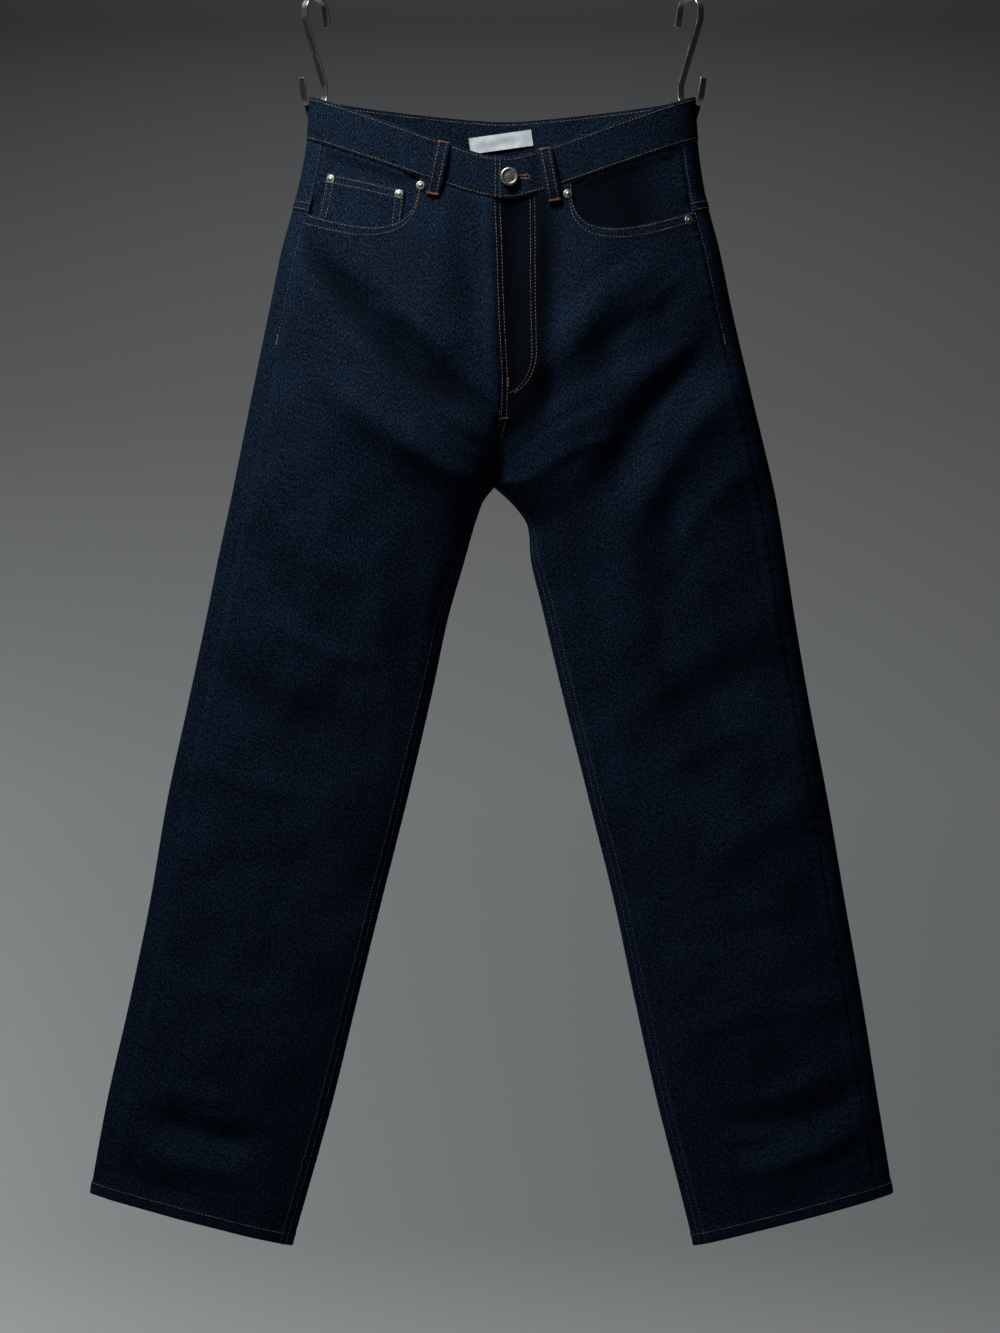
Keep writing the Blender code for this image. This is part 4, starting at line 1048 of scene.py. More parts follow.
@dataclass
class Shell:
    """A piece of cloth: a lattice of places on the form, moved out, with its seams' relief."""

    name: str
    form: Form
    half: Half
    turns: Array
    levels: Array
    out: Array | float = 0.0
    thickness: Array | float = 0.0012
    seams: dict[Edge, Seam] = field(default_factory=dict)
    sheltered: Array | float = 0.0  # where painted shade is added, 0 to 1
    rounded: tuple[Edge, ...] = tuple(Edge)
    round_off: float = 0.0006  # how far the cloth turns in at its very edge
    round_reach: float = 0.0015
    highest: float = 0.0009  # the relief at which the cloth is rubbed most
    deepest: float = 0.01  # the depth of fold at which the painted shade is full

    def __post_init__(self) -> None:
        """Works out the points, each one's distances from the edges, and the seams' relief."""
        points, _, self.normals = self.form.frame(self.half, self.turns, self.levels)
        points = points + self.normals * np.expand_dims(np.broadcast_to(self.out, self.turns.shape), -1)
        from_start, from_top = run_lengths(points, 1), run_lengths(points)
        self.off = {
            Edge.START: from_start,
            Edge.END: from_start[:, -1:] - from_start,
            Edge.TOP: from_top,
            Edge.BOTTOM: from_top[-1:] - from_top,
        }
        relief = np.zeros(points.shape[:2])
        for edge, seam in self.seams.items():
            along = from_top if edge in (Edge.START, Edge.END) else from_start
            relief = relief + seam.height(self.off[edge], along)
        self.crest = np.clip(relief / self.highest, 0, 1)
        for edge in self.rounded:
            middle = 1 - ease(self.off[edge], -self.round_reach, self.round_reach)
            relief = relief - self.round_off * middle * 2
        self.face = points + self.normals * relief[..., None]
        self.back = points - self.normals * np.broadcast_to(self.thickness, relief.shape)[..., None]
        bare = self.form.point(self.half, self.turns, self.levels, bare=True)
        yarns = run_lengths(bare, 1)
        self.grain = np.stack([yarns - yarns[:, yarns.shape[1] // 2][:, None], -self.levels], axis=-1)
        folded = np.sum((self.form.point(self.half, self.turns, self.levels) - bare) * self.normals, axis=-1)
        # painted shade: the troughs of folds, and any painted shade mask, darken the cloth through the hollow
        # mark
        self.hollow = np.clip(self.sheltered - folded / self.deepest, 0, 1)

    def build(self) -> Piece:
        """Makes the object."""
        return lattice_object(self.name, self.face, self.back, self.grain, self.crest, self.hollow)

    def share_at(self, level: float) -> float:
        """How far down the lattice a level lies, as a share of its rows."""
        return float(np.interp(level, self.levels[:, 0], spread(len(self.levels))))

    def beside(
        self, edge: Edge, distance: float, first: float = 0.0, last: float = 1.0, inside: bool = False
    ) -> tuple[Array, Array]:
        """Finds a line at a distance from an edge.

        Args:
            edge: The edge.
            distance: How far in the line runs.
            first: Where it starts, as a share of the lattice's rows or columns.
            last: Where it ends, as such a share.
            inside: Whether it runs on the inside of the cloth.

        Returns:
            The line's points, and the normals there.
        """
        face, normals = (self.back, -self.normals) if inside else (self.face, self.normals)
        off = self.off[edge]
        if edge in (Edge.TOP, Edge.BOTTOM):
            off, face, normals = off.T, face.transpose(1, 0, 2), normals.transpose(1, 0, 2)
        if edge in (Edge.END, Edge.BOTTOM):
            off, face, normals = off[:, ::-1], face[:, ::-1], normals[:, ::-1]
        chosen = range(round(first * (len(off) - 1)), round(last * (len(off) - 1)) + 1)
        spots = np.array([at_lengths(distance, off[k], face[k]) for k in chosen])
        return spots, unit(np.array([at_lengths(distance, off[k], normals[k]) for k in chosen]))


@dataclass
class Panels:
    """The fronts, backs and yokes."""

    form: Form
    relaxed_row: float = 0.236  # the level below which the rows are level ones
    pocket_inner: dict[Half, float] = field(default_factory=lambda: {Half.RIGHT: 0.42, Half.LEFT: 0.34})
    pocket_depth: dict[Half, float] = field(default_factory=lambda: {Half.RIGHT: 0.0665, Half.LEFT: 0.064})
    pocket_power: float = 2.95
    steep_part: float = 0.4  # of the mouth's points, which lie on its steep part
    steep_angle: float = math.radians(48)
    flat_power: float = 1.5
    denim: float = 0.0012
    hem_thickness: float = 0.0024
    hem_margin: float = 0.0005  # how far above the hem's depth its double thickness begins
    hem_edge: tuple[float, ...] = (0.0016, 0.0008, 0.0)  # the last rows' distances from the hem
    # where a front's columns stand, of its width: four parts on the band, then eight on the mouth
    front_places: tuple[float, ...] = (
        0.0, 0.12, 0.23, 0.34, 0.45, 0.52, 0.59, 0.66, 0.73, 0.8, 0.87, 0.935, 1.0,
    )
    band_parts: int = 4
    band_points: int = 24
    mouth_points: int = 44
    front_rows: int = 330
    back_rows: int = 270
    back_columns: int = 64
    edge_columns: int = 9  # of a back's columns, close together round the side
    edge_share: float = 0.14
    yoke_rows: int = 28
    placket: Pair = (0.036, 0.052)  # how far from the fly's edge the painted shade on the placket ends
    # the levels between which the placket's painted shade fades out
    placket_levels: Pair = (0.345, 0.38)
    # how dark the placket's painted shade is
    placket_shade: float = 0.85

    def leg_rows(self, count: int) -> Array:
        """The levels of a panel's level rows, close together at the hem."""
        form = self.form
        rows = self.relaxed_row + (form.hem - self.relaxed_row) * spread(count)
        return np.concatenate([rows[:-1], form.hem - np.array(self.hem_edge)])[:, None]

    def panel(self, kind: str, half: Half, steps: Array, top: Places, rows: Places) -> Shell:
        """Makes a panel of rows that ease from its upper edge to the level rows below.

        Args:
            kind: The piece's name without its side.
            half: Which half.
            steps: How far down from the upper edge each row before the level ones is.
            top: The upper edge's places, as shares of the half's width on a front and turns on a back.
            rows: The level rows' turns and levels.

        Returns:
            The panel.
        """
        form = self.form
        turns, levels = rows
        if kind == "front":
            upper = [form.turn(top[0] + (form.share(turns[0]) - top[0]) * u) for u in steps]
        else:
            upper = [top[0] + (turns[0] - top[0]) * u for u in steps]
        upper_levels = [top[1] + (self.relaxed_row - top[1]) * u for u in steps]
        levels = np.concatenate([upper_levels, np.repeat(levels, turns.shape[1], axis=1)])
        turns = np.concatenate([upper, turns])
        in_hem = levels > form.hem - form.hem_depth - self.hem_margin
        sheltered = 0.0
        # painted shade on the left front's placket beside the fly, where the cloth lies in shadow
        if kind == "front" and half == Half.LEFT:
            across = form.share(turns) * form.half_width(half, levels)
            painted_shade = (1 - ease(across, *self.placket)) * (1 - ease(levels, *self.placket_levels))
            sheltered = painted_shade * self.placket_shade
        return Shell(
            f"shell_{kind}_{half.side}", form, half, turns, levels,
            thickness=np.where(in_hem, self.hem_thickness, self.denim), seams=seams_on(half, kind),
            sheltered=sheltered,
        )

    def mouth(self, half: Half, way: Array) -> tuple[Array, Array]:
        """The pocket's mouth, a quarter of a superellipse.

        Args:
            half: Which half.
            way: 0 at the mouth's inner end, on the band, to 1 at the side seam.

        Returns:
            The shares of the half's width, and the levels.
        """
        form = self.form
        outer = 1 - form.side_seam_in / form.half_width(half, form.yoke_side)
        reach = outer - self.pocket_inner[half]
        steep_end = math.cos(self.steep_angle) ** (2 / self.pocket_power)
        angle = self.steep_angle * np.clip(way / self.steep_part, 0, 1)
        steep = np.cos(angle) ** (2 / self.pocket_power)
        flat = steep_end * np.clip((1 - way) / (1 - self.steep_part), 0, 1) ** self.flat_power
        left = reach * np.where(way <= self.steep_part, steep, flat)
        drop = self.pocket_depth[half] * (1 - (left / reach) ** self.pocket_power) ** (1 / self.pocket_power)
        return outer - left, form.band_bottom + form.seam_gap + drop

    def front(self, half: Half) -> Shell:
        """A front panel: rows that follow the pocket's mouth, then level ones."""
        form, parts = self.form, self.band_parts
        last = len(self.front_places) - 1
        on_mouth = spread(self.mouth_points, parts, last)
        place = np.concatenate([spread(self.band_points, 0, parts)[:-1], on_mouth])
        rows = self.leg_rows(self.front_rows)
        half_gap = form.seam_gap / 2
        start = form.front_start(half, rows)
        start = np.where(form.on_leg(rows), form.moved(half, start, rows, half_gap), start)
        end = form.moved(half, form.side_seam(half, rows), rows, -half_gap)
        turns = start + (end - start) * np.interp(place, np.arange(last + 1), self.front_places)

        edge = form.share(form.front_start(half, form.band_bottom))
        on_band = edge + (self.pocket_inner[half] - edge) * np.clip(place / parts, 0, 1)
        mouth_share, mouth_level = self.mouth(half, np.clip((place - parts) / (last - parts), 0, 1))
        top_share = np.where(place <= parts, on_band, mouth_share)
        top_level = np.where(place <= parts, form.band_bottom + form.seam_gap, mouth_level)
        corner = form.moved(half, form.turn(top_share[-1:]), top_level[-1:], -half_gap)
        top_share[-1] = form.share(corner)[0]
        steps = np.concatenate([[0.0, 0.006, 0.014, 0.03], spread(30, 0.06, 0.97)])
        return self.panel("front", half, steps, (top_share, top_level), (turns, rows))

    def back_ends(self, half: Half, levels: Array) -> tuple[Array, Array]:
        """The turns of a back's side seam and inner edge."""
        form = self.form
        start = form.moved(half, form.side_seam(half, levels), levels, form.seam_gap / 2)
        leg = form.on_leg(levels)
        end = np.where(leg, form.front_start(half, levels) + 2, 2.0)
        return start, np.where(leg, form.moved(half, end, levels, -form.seam_gap / 2), end)

    def back_fractions(self) -> Array:
        """A back row's columns: close together round the side, then even ones."""
        near = spread(self.edge_columns, 0, self.edge_share)[:-1]
        return np.concatenate([near, spread(self.back_columns - len(near), self.edge_share, 1)])

    def back_row(self, half: Half, level: float) -> Array:
        """The turns of a back's columns at a level above the level rows."""
        start, end = self.back_ends(half, np.array([[level]]))
        return (start + (end - start) * self.back_fractions())[0]

    def back(self, half: Half) -> Shell:
        """A back panel, from the yoke's seam to the hem."""
        rows = self.leg_rows(self.back_rows)
        start, end = self.back_ends(half, rows)
        turns = start + (end - start) * self.back_fractions()
        top = self.back_row(half, self.form.yoke_side)
        top_level = self.form.yoke_seam(top) + self.form.seam_gap / 2
        steps = np.concatenate([[0.0, 0.02, 0.05], spread(7, 0.1, 0.9)])
        return self.panel("back", half, steps, (top, top_level), (turns, rows))

    def yoke(self, half: Half) -> Shell:
        """A yoke, between the waistband and the back panel."""
        form = self.form
        top, bottom = self.back_row(half, form.band_bottom), self.back_row(half, form.yoke_side)
        u = spread(self.yoke_rows)[:, None]
        first = form.band_bottom + form.seam_gap
        levels = first + (form.yoke_seam(bottom) - form.seam_gap / 2 - first) * u
        turns = top + (bottom - top) * u
        seams = seams_on(half, "yoke")
        return Shell(f"shell_yoke_{half.side}", form, half, turns, levels, 0.0, self.denim, seams)


@dataclass
class Pockets:
    """The front pockets' facings and coin pocket, and the back pockets."""

    form: Form
    panels: Panels
    facing_out: dict[Half, float] = field(default_factory=lambda: {Half.RIGHT: -0.0034, Half.LEFT: -0.0018})
    facing_thickness: float = 0.0011
    facing_grid: tuple[int, int] = (40, 60)  # rows and columns
    facing_margin: float = 0.065
    facing_rise: float = 0.013  # how near its sewn edges the facing starts to come up to them
    facing_edge: float = -0.0003
    facing_end: float = 0.228
    facing_free: Pair = (0.03, 0.1)  # past the mouth's inner end, where it comes off the band
    facing_side_end: Pair = (0.022, 0.008)  # above the yoke's end, where it leaves the side
    facing_shade: Pair = (0.62, 0.86)  # the shares between which the painted shade on the left one fades out
    coin_grid: tuple[int, int] = (40, 56)
    coin_shares: Pair = (0.49, 0.877)
    coin_top: Pair = (0.157, 0.1643)
    coin_bottom: float = 0.222
    layer_gap: float = 0.0004
    back_grid: tuple[int, int] = (64, 60)
    back_top: float = 0.233
    back_length: float = 0.148
    back_point: float = 0.018
    back_gap: float = 0.0009
    back_thin: float = 0.8  # of the panel's thickness
    back_span: Pair = (1 / 13, 8 / 13)  # of the way from the side to the inner edge
    back_taper: float = 0.75 / 13  # drawn in on each side at the bottom

    def facing(self, half: Half) -> Shell:
        """The cloth behind a front pocket's mouth."""
        form, inner = self.form, self.panels.pocket_inner[half]
        rows, columns = self.facing_grid
        heights = spread(rows, form.band_bottom + form.seam_gap, self.facing_end)
        levels = np.repeat(heights[:, None], columns, axis=1)
        start = form.turn(np.array(inner - self.facing_margin))
        end = form.moved(half, form.side_seam(half, levels[:, :1]), levels[:, :1], -form.seam_gap / 2)
        turns = start + (end - start) * spread(columns)
        shares = form.share(turns)
        beyond = ease(shares, *(inner + past for past in self.facing_free))
        under_band = beyond * (1 - ease(levels - levels[0], 0.0, self.facing_rise))
        from_side = (shares[:, -1:] - shares) * form.half_width(half, levels)
        at_side = 1 - ease(from_side, 0.0, self.facing_rise)
        at_side = at_side * (1 - ease(levels, *(form.yoke_side - above for above in self.facing_side_end)))
        raised = np.maximum(under_band, at_side)
        out = self.facing_out[half] * (1 - raised) + self.facing_edge * raised
        # painted shade on the inner part of the left facing, which lies in the shadow of the pocket's mouth
        sheltered = 1 - ease(shares, *self.facing_shade) if half == Half.LEFT else 0.0
        name = f"shell_pocket_facing_{half.side}"
        thickness = self.facing_thickness
        return Shell(name, form, half, turns, levels, out, thickness, sheltered=sheltered)

    def coin(self) -> Shell:
        """The coin pocket, which lies on the right facing."""
        rows, columns = self.coin_grid
        inner, outer = (self.form.turn(np.array(s)) for s in self.coin_shares)
        turns, down = np.meshgrid(spread(columns, float(inner), float(outer)), spread(rows))
        levels = spread(columns, *self.coin_top) * (1 - down) + self.coin_bottom * down
        out = self.facing_out[Half.RIGHT] + self.layer_gap + self.facing_thickness
        thickness, seams = self.facing_thickness, SEAMS["coin"]
        return Shell("shell_coin_pocket", self.form, Half.RIGHT, turns, levels, out, thickness, seams)

    def back(self, panel: Shell) -> Shell:
        """A back pocket, over part of the back panel and moved out, with a pointed lower edge."""
        half, denim = panel.half, self.panels.denim
        rows, columns = self.back_grid
        across, down = spread(columns), spread(rows)[:, None]
        point = self.back_point * (1 - np.abs(2 * across - 1))
        levels = self.back_top + (self.back_length + point) * down
        _, row_end = self.panels.back_ends(half, levels[:, :1])
        drawn_in = self.back_taper * down
        first, last = self.back_span[0] + drawn_in, self.back_span[1] - drawn_in
        turns = 1 + (row_end - 1) * (first + (last - first) * across)
        name, seams = f"shell_back_pocket_{half.side}", seams_on(half, "back_pocket")
        out, thickness = self.back_gap + denim, denim * self.back_thin
        return Shell(name, self.form, half, turns, levels, out, thickness, seams)


@dataclass
class Waistband:
    """The waistband, whose top end laps over the one below it, and what is sewn in behind the fly."""

    form: Form
    out: float = 0.0005
    thickness: float = 0.0022
    lap_lift: float = 0.0027
    lap_shares: Pair = (0.1, 0.2)  # of the half's width, where the lap's lift ends
    edge_rows: tuple[float, ...] = (0.0, 0.0006, 0.0012)  # their distances from the band's edges
    grid: tuple[int, int] = (22, 128)  # the other rows, and each half's columns
    facing_grid: tuple[int, int] = (60, 14)
    behind_grid: tuple[int, int] = (50, 12)
    inner_row: float = 0.003
    facing_width: float = 0.033
    facing_out: float = -0.003
    facing_thickness: float = 0.001
    j_start: float = 0.293
    j_end: float = 0.329
    j_tip: float = 0.332
    hip_level: float = 0.25  # the level at which shares of the fly's width are taken
    zip_end: float = 0.326
    # the name, how far it reaches to each side of the centre, how far out, and the thickness
    behind: tuple[tuple[str, Pair, float, float], ...] = (
        ("shell_fly_zip", (-0.012, 0.016), -0.0044, 0.0008),
        ("shell_fly_shield", (-0.018, 0.03), -0.0056, 0.0011),
    )

    def band(self) -> list[Shell]:
        """The band as its two halves' lattices, which join() makes one piece."""
        form = self.form
        over = -float(form.turn(np.array(form.fly_lap / form.half_width(Half.LEFT, form.band_bottom))))
        under = -float(form.turn(np.array(self.lap_shares[0])))
        edge, (rows, columns) = np.array(self.edge_rows), self.grid
        middle = spread(rows, self.inner_row, form.band_height - self.inner_row)
        levels = np.concatenate([edge, middle, form.band_height - edge[::-1]])
        levels = (form.waist_top + levels)[:, None]
        shells = []
        for half, ends in ((Half.RIGHT, (under, 2.0)), (Half.LEFT, (2.0, over))):
            turns = spread(columns, *ends)
            out = np.full(len(turns), self.out)
            if half == Half.LEFT:
                out = out + self.lap_lift * (1 - ease(form.share(turns), *self.lap_shares)) * (turns < 1)
            turns, grid, out = np.broadcast_arrays(turns, levels, out)
            shells.append(
                Shell(
                    "shell_waistband", form, half, turns, grid, out, self.thickness, SEAMS["waistband"],
                    rounded=(Edge.TOP, Edge.BOTTOM),
                )
            )
        return shells

    def fly(self) -> list[Shell]:
        """Facing, zip tape and shield, one behind the other under the left front."""
        form, left = self.form, Half.LEFT
        width = float(form.half_width(left, self.hip_level))
        top = form.band_bottom + form.seam_gap
        levels = spread(self.facing_grid[0], top, self.j_end)[:, None]
        bend = np.clip((levels - self.j_start) / (self.j_tip - self.j_start), 0, 1)
        outer = self.facing_width * np.sqrt(1 - bend**2)
        inner = form.share(form.front_start(left, levels)) * width + form.seam_gap
        shares = (inner + (outer - inner) * spread(self.facing_grid[1])) / width
        grid = np.broadcast_to(levels, shares.shape)
        sizes = self.facing_out, self.facing_thickness
        made = [Shell("shell_fly_facing", form, left, form.turn(shares), grid, *sizes)]
        for name, reach, out, thickness in self.behind:
            rows, columns = self.behind_grid
            shares, grid = np.meshgrid(spread(columns, *reach) / width, spread(rows, top, self.zip_end))
            made.append(Shell(name, form, left, form.turn(shares), grid, out, thickness))
        return made


def join_lattices(name: str, shells: Sequence[Shell]) -> Piece:
    """Makes one piece of lattices that follow each other along their rows."""
    grains = []
    reach = 0.0
    for shell in shells:
        width = shell.off[Edge.START]
        grains.append(np.stack([reach + width, -shell.levels], axis=-1))
        reach += float(width[0, -1])
    face, back, crest = (
        np.concatenate([getattr(shell, key) for shell in shells], axis=1) for key in ("face", "back", "crest")
    )
    return lattice_object(name, face, back, np.concatenate(grains, axis=1), crest)


# ---- belt loops, hooks, metal and label


@dataclass(frozen=True)
class LoopPlace:
    """Where a belt loop's two ends are, how much further out it stands, and whether a hook carries it."""

    half: Half
    top_turn: float
    bottom_turn: float
    lift: float = 0.0
    hung: bool = False


@dataclass
class BeltLoops:
    """Folded straps across the waistband. Two of them carry the hooks."""

    form: Form
    width: float = 0.013
    thickness: float = 0.0016
    side_turn: float = 1.13
    # (how far the strap's middle stands out, level)
    flat: tuple[Pair, ...] = (
        (0.0021, 0.0978), (0.0024, 0.1015), (0.0036, 0.108), (0.0042, 0.118),
        (0.004, 0.132), (0.0032, 0.143), (0.002, 0.149), (0.0017, 0.153),
    )
    hooked: tuple[Pair, ...] = (
        (0.0012, 0.1003), (0.005, 0.10032), (0.0093, 0.1005), (0.01095, 0.1015), (0.0115, 0.1035),
        (0.0108, 0.1068), (0.008, 0.1125), (0.0054, 0.119), (0.0044, 0.129), (0.004, 0.143),
        (0.0022, 0.155), (0.0014, 0.161),
    )
    hook_bend: float = 0.012  # the radius of the hook's bend, over which a hooked loop's top curves
    curved_down: float = 0.007  # from the band's top, how far that curve shows
    row_in: float = 0.0036  # how far from its middle each row of stitches is
    # the ridge over the strap's inner fold: its height and width
    ridge: Pair = (0.0002, 0.0014)
    rim: Pair = (0.00035, 0.0012)  # how far each side turns in, and over what width
    rub_width: float = 0.0016
    wobble: tuple[float, float, float] = (0.00012, 0.0062, 2.0)  # height, pitch and seed
    sunk: float = 0.0002
    near_edge: tuple[float, ...] = (0.0, 0.0004, 0.001)  # of the columns nearest each side
    even_columns: int = 9  # the columns between them, and how far from each side the first one is
    even_from: float = 0.002
    near_end: tuple[float, ...] = (0.0, 0.12, 0.24)  # of the rows nearest each end, in stations
    station_rows: int = 5  # for each station

    def across(self, half: Half, turn: float) -> tuple[Array, Array, Array]:
        """The middle of the waistband at a turn: the point, the way along the row, and the normal."""
        level = self.form.waist_top + self.form.band_height / 2
        points, along, normals = self.form.frame(half, np.array([[turn]]), np.array([[level]]))
        return points[0, 0], along[0, 0], normals[0, 0]

    def strap(self, name: str, way: LoopPlace) -> tuple[Piece, Array, Array]:
        """Makes one loop.

        Args:
            name: The piece's name.
            way: Where it is, and how it runs.

        Returns:
            The object, the lattice of its outer face, and the outward directions.
        """
        half, top, bottom = way.half, way.top_turn, way.bottom_turn
        _, along, out = self.across(half, (top + bottom) / 2)
        coarse = np.array(self.hooked if way.hung else self.flat) + (way.lift, 0.0)
        last, ends = len(coarse) - 1, np.array(self.near_end)
        even = np.arange(2, len(coarse) * self.station_rows - 6) / self.station_rows
        steps = np.concatenate([ends, even, last - ends[::-1]])
        marks = np.arange(len(coarse), dtype=float)
        fine = np.stack([curve_through(marks, coarse[:, k])(steps) for k in (0, 1)], axis=-1)
        u = (fine[:, 1] - coarse[0, 1]) / (coarse[-1, 1] - coarse[0, 1])
        turns = top + (bottom - top) * np.clip(u, 0, 1)
        middle = self.form.point(half, turns, fine[:, 1]) + fine[:, :1] * out
        if way.hung:
            middle[:, 2] = -fine[:, 1]
        run = unit(np.gradient(middle, axis=0))
        side = unit(along - run * (run @ along)[:, None])
        outward = unit(np.cross(side, run)) * -half
        rim, near = self.width / 2, np.array(self.near_edge)
        even = spread(self.even_columns, self.even_from - rim, rim - self.even_from)
        offsets = np.concatenate([near - rim, even, rim - near[::-1]])
        length = run_lengths(middle)
        lattice = middle[:, None, :] + side[:, None, :] * offsets[None, :, None]
        if way.hung:
            rise = self.hook_bend - np.sqrt(self.hook_bend**2 - offsets**2)
            lattice[..., 2] += rise * (fine[:, 1] < self.form.waist_top + self.curved_down)[:, None]
        ridge = self.ridge[0] * np.exp(-(((np.abs(offsets) - self.row_in) / self.ridge[1]) ** 2))
        soft = self.rim[0] * np.clip(1 - (rim - np.abs(offsets)) / self.rim[1], 0, 1) ** 2
        height, pitch, seed = self.wobble
        relief = height * waves(length[:, None], pitch, seed + top) - soft + ridge - self.sunk
        thick = outward[:, None, :] * self.thickness / 2
        face = lattice + thick + outward[:, None, :] * relief[..., None]
        back = lattice - thick + outward[:, None, :] * soft[:, None]
        crest = np.clip(1.0 - (rim - np.abs(offsets)) / self.rub_width, 0, 1)
        crest = np.broadcast_to(crest, lattice.shape[:2])
        return lattice_object(name, face, back, grid_of(offsets, length), crest), face, outward


@dataclass
class Hooks:
    """Two S-hooks bent from flat strip."""

    loops: BeltLoops
    strip_width: float = 0.008
    strip_thickness: float = 0.002
    reach: float = 0.1018
    half_span: float = 0.013
    tip: float = 0.0245
    tip_out: float = 0.004  # how much wider the open end stands than the bend
    tip_in: float = 0.001
    straight: float = 0.0205  # how far below the rail the closed side's straight part ends
    crown_less: float = 0.0006  # the crown's radius is this much less than half its width
    waist_radius: float = 0.01  # of the bends between crown and diagonal
    bend_steps: int = 18
    seat_level: float = 0.004  # below the band's top, where the strip's place is measured
    clear: float = 0.0013  # between that place and the strip's edge
    bevel: float = 0.0004

    def path(self) -> Array:
        """The strip's middle line, as (along the waistband, Z): a point-symmetric S."""
        top = self.strip_thickness / 2
        upper = (
            (self.half_span + self.tip_out, -self.tip),
            (self.half_span - self.tip_in, top),
            (-self.half_span, top),
            (-self.half_span, -self.straight),
        )
        corners = [Vector((x, 0.0, z)) for x, z in upper]
        corners += [Vector((-x, 0.0, -self.reach - z)) for x, z in reversed(upper)]
        crown = self.half_span - self.crown_less
        radii = (crown, crown, self.waist_radius, self.waist_radius, crown, crown)
        made = [corners[0]]
        for before, corner, after, radius in zip(corners, corners[1:], corners[2:], radii):
            back, on = (before - corner).normalized(), (after - corner).normalized()
            half_angle = back.angle(on) / 2
            centre = corner + (back + on).normalized() * radius / math.sin(half_angle)
            start = (corner + back * radius / math.tan(half_angle) - centre).normalized()
            end = (corner + on * radius / math.tan(half_angle) - centre).normalized()
            shares = spread(self.bend_steps + 1)
            made += [centre + start.slerp(end, float(share)) * radius for share in shares]
        return np.array(made + [corners[-1]])

    def build(self, half: Half, name: str) -> Piece:
        """Makes one hook, with eased edges."""
        level, form = (1, 1, 0), self.loops.form
        _, along, out = self.loops.across(half, self.loops.side_turn)
        along, out = unit(along * level), unit(out * level)
        top = form.point(half, self.loops.side_turn, form.waist_top + self.seat_level)
        centre = top * level + out * (self.clear + self.strip_width / 2)
        path = self.path()
        middle = centre + path[:, :1] * along + path[:, 2:] * np.array([0.0, 0.0, 1.0])
        up = np.cross(unit(np.gradient(middle, axis=0)), out)
        offsets = spread(5, -self.strip_width / 2, self.strip_width / 2)
        lattice = middle[:, None, :] + out * offsets[None, :, None]
        thick = up[:, None, :] * self.strip_thickness / 2
        grain = grid_of(offsets, run_lengths(middle))
        piece = lattice_object(name, lattice + thick, lattice - thick, grain)
        eased = piece.modifiers.new("eased_edges", "BEVEL")
        eased.width, eased.segments, eased.limit_method = self.bevel, 2, "ANGLE"
        eased.angle_limit = math.radians(60)
        return piece


@dataclass(frozen=True)
class StudPlace:
    """Where a stud stands: on which half, at what share of its width, at what level and how far out."""

    node: str
    half: Half
    share: float
    level: float
    out: float
    is_button: bool = False


@dataclass
class Studs:
    """The waist button and the rivets, turned from their profiles."""

    form: Form
    # each profile's points, as (radius, height)
    button: tuple[Pair, ...] = (
        (0.0, 0.0), (0.0032, 0.0), (0.0032, 0.0012), (0.0072, 0.0013), (0.0084, 0.0018), (0.0088, 0.0024),
        (0.0086, 0.0031), (0.0079, 0.0037), (0.007, 0.0039), (0.0063, 0.0037), (0.0058, 0.0033),
        (0.005, 0.0032), (0.0034, 0.0035), (0.0018, 0.0037), (0.0, 0.0038),
    )
    rivet: tuple[Pair, ...] = (
        (0.0, 0.0), (0.0042, 0.0), (0.0044, 0.0003), (0.0043, 0.0007), (0.0038, 0.001), (0.0028, 0.0011),
        (0.0021, 0.001), (0.0018, 0.0012), (0.0014, 0.0017), (0.0007, 0.0019), (0.0, 0.0019),
    )

    def turned(self, name: str, profile: Sequence, sides: int, centre: Array, axis: Array) -> Piece:
        """Spins a profile about an axis.

        Args:
            name: The piece's name.
            profile: Points of (radius, height), which start and end on the axis.
            sides: How many steps the spin has.
            centre: Where the profile's foot is.
            axis: The way it points.

        Returns:
            The object.
        """
        bm = bmesh.new()
        verts = [bm.verts.new((radius, 0.0, height)) for radius, height in profile]
        edges = [bm.edges.new(pair) for pair in zip(verts, verts[1:])]
        spun = {"cent": (0, 0, 0), "axis": (0, 0, 1), "angle": math.tau, "steps": sides}
        bmesh.ops.spin(bm, geom=verts + edges, use_merge=True, **spun)
        bmesh.ops.remove_doubles(bm, verts=bm.verts[:], dist=TINY)
        placed = Vector(axis).to_track_quat("Z", "Y").to_matrix().to_4x4()
        placed.translation = Vector(centre)
        bmesh.ops.transform(bm, matrix=placed, verts=bm.verts[:])
        return add_solid(bm, bpy.data.meshes.new(name), sharp=45)

    def place(self, spot: StudPlace) -> Piece:
        """Turns a stud where it stands on the cloth."""
        turn = self.form.turn(np.array([[spot.share]]))
        points, _, normals = self.form.frame(spot.half, turn, np.array([[spot.level]]))
        profile, sides = (self.button, 64) if spot.is_button else (self.rivet, 40)
        foot = points[0, 0] + normals[0, 0] * spot.out
        return self.turned(f"turned_{spot.node}", profile, sides, foot, normals[0, 0])


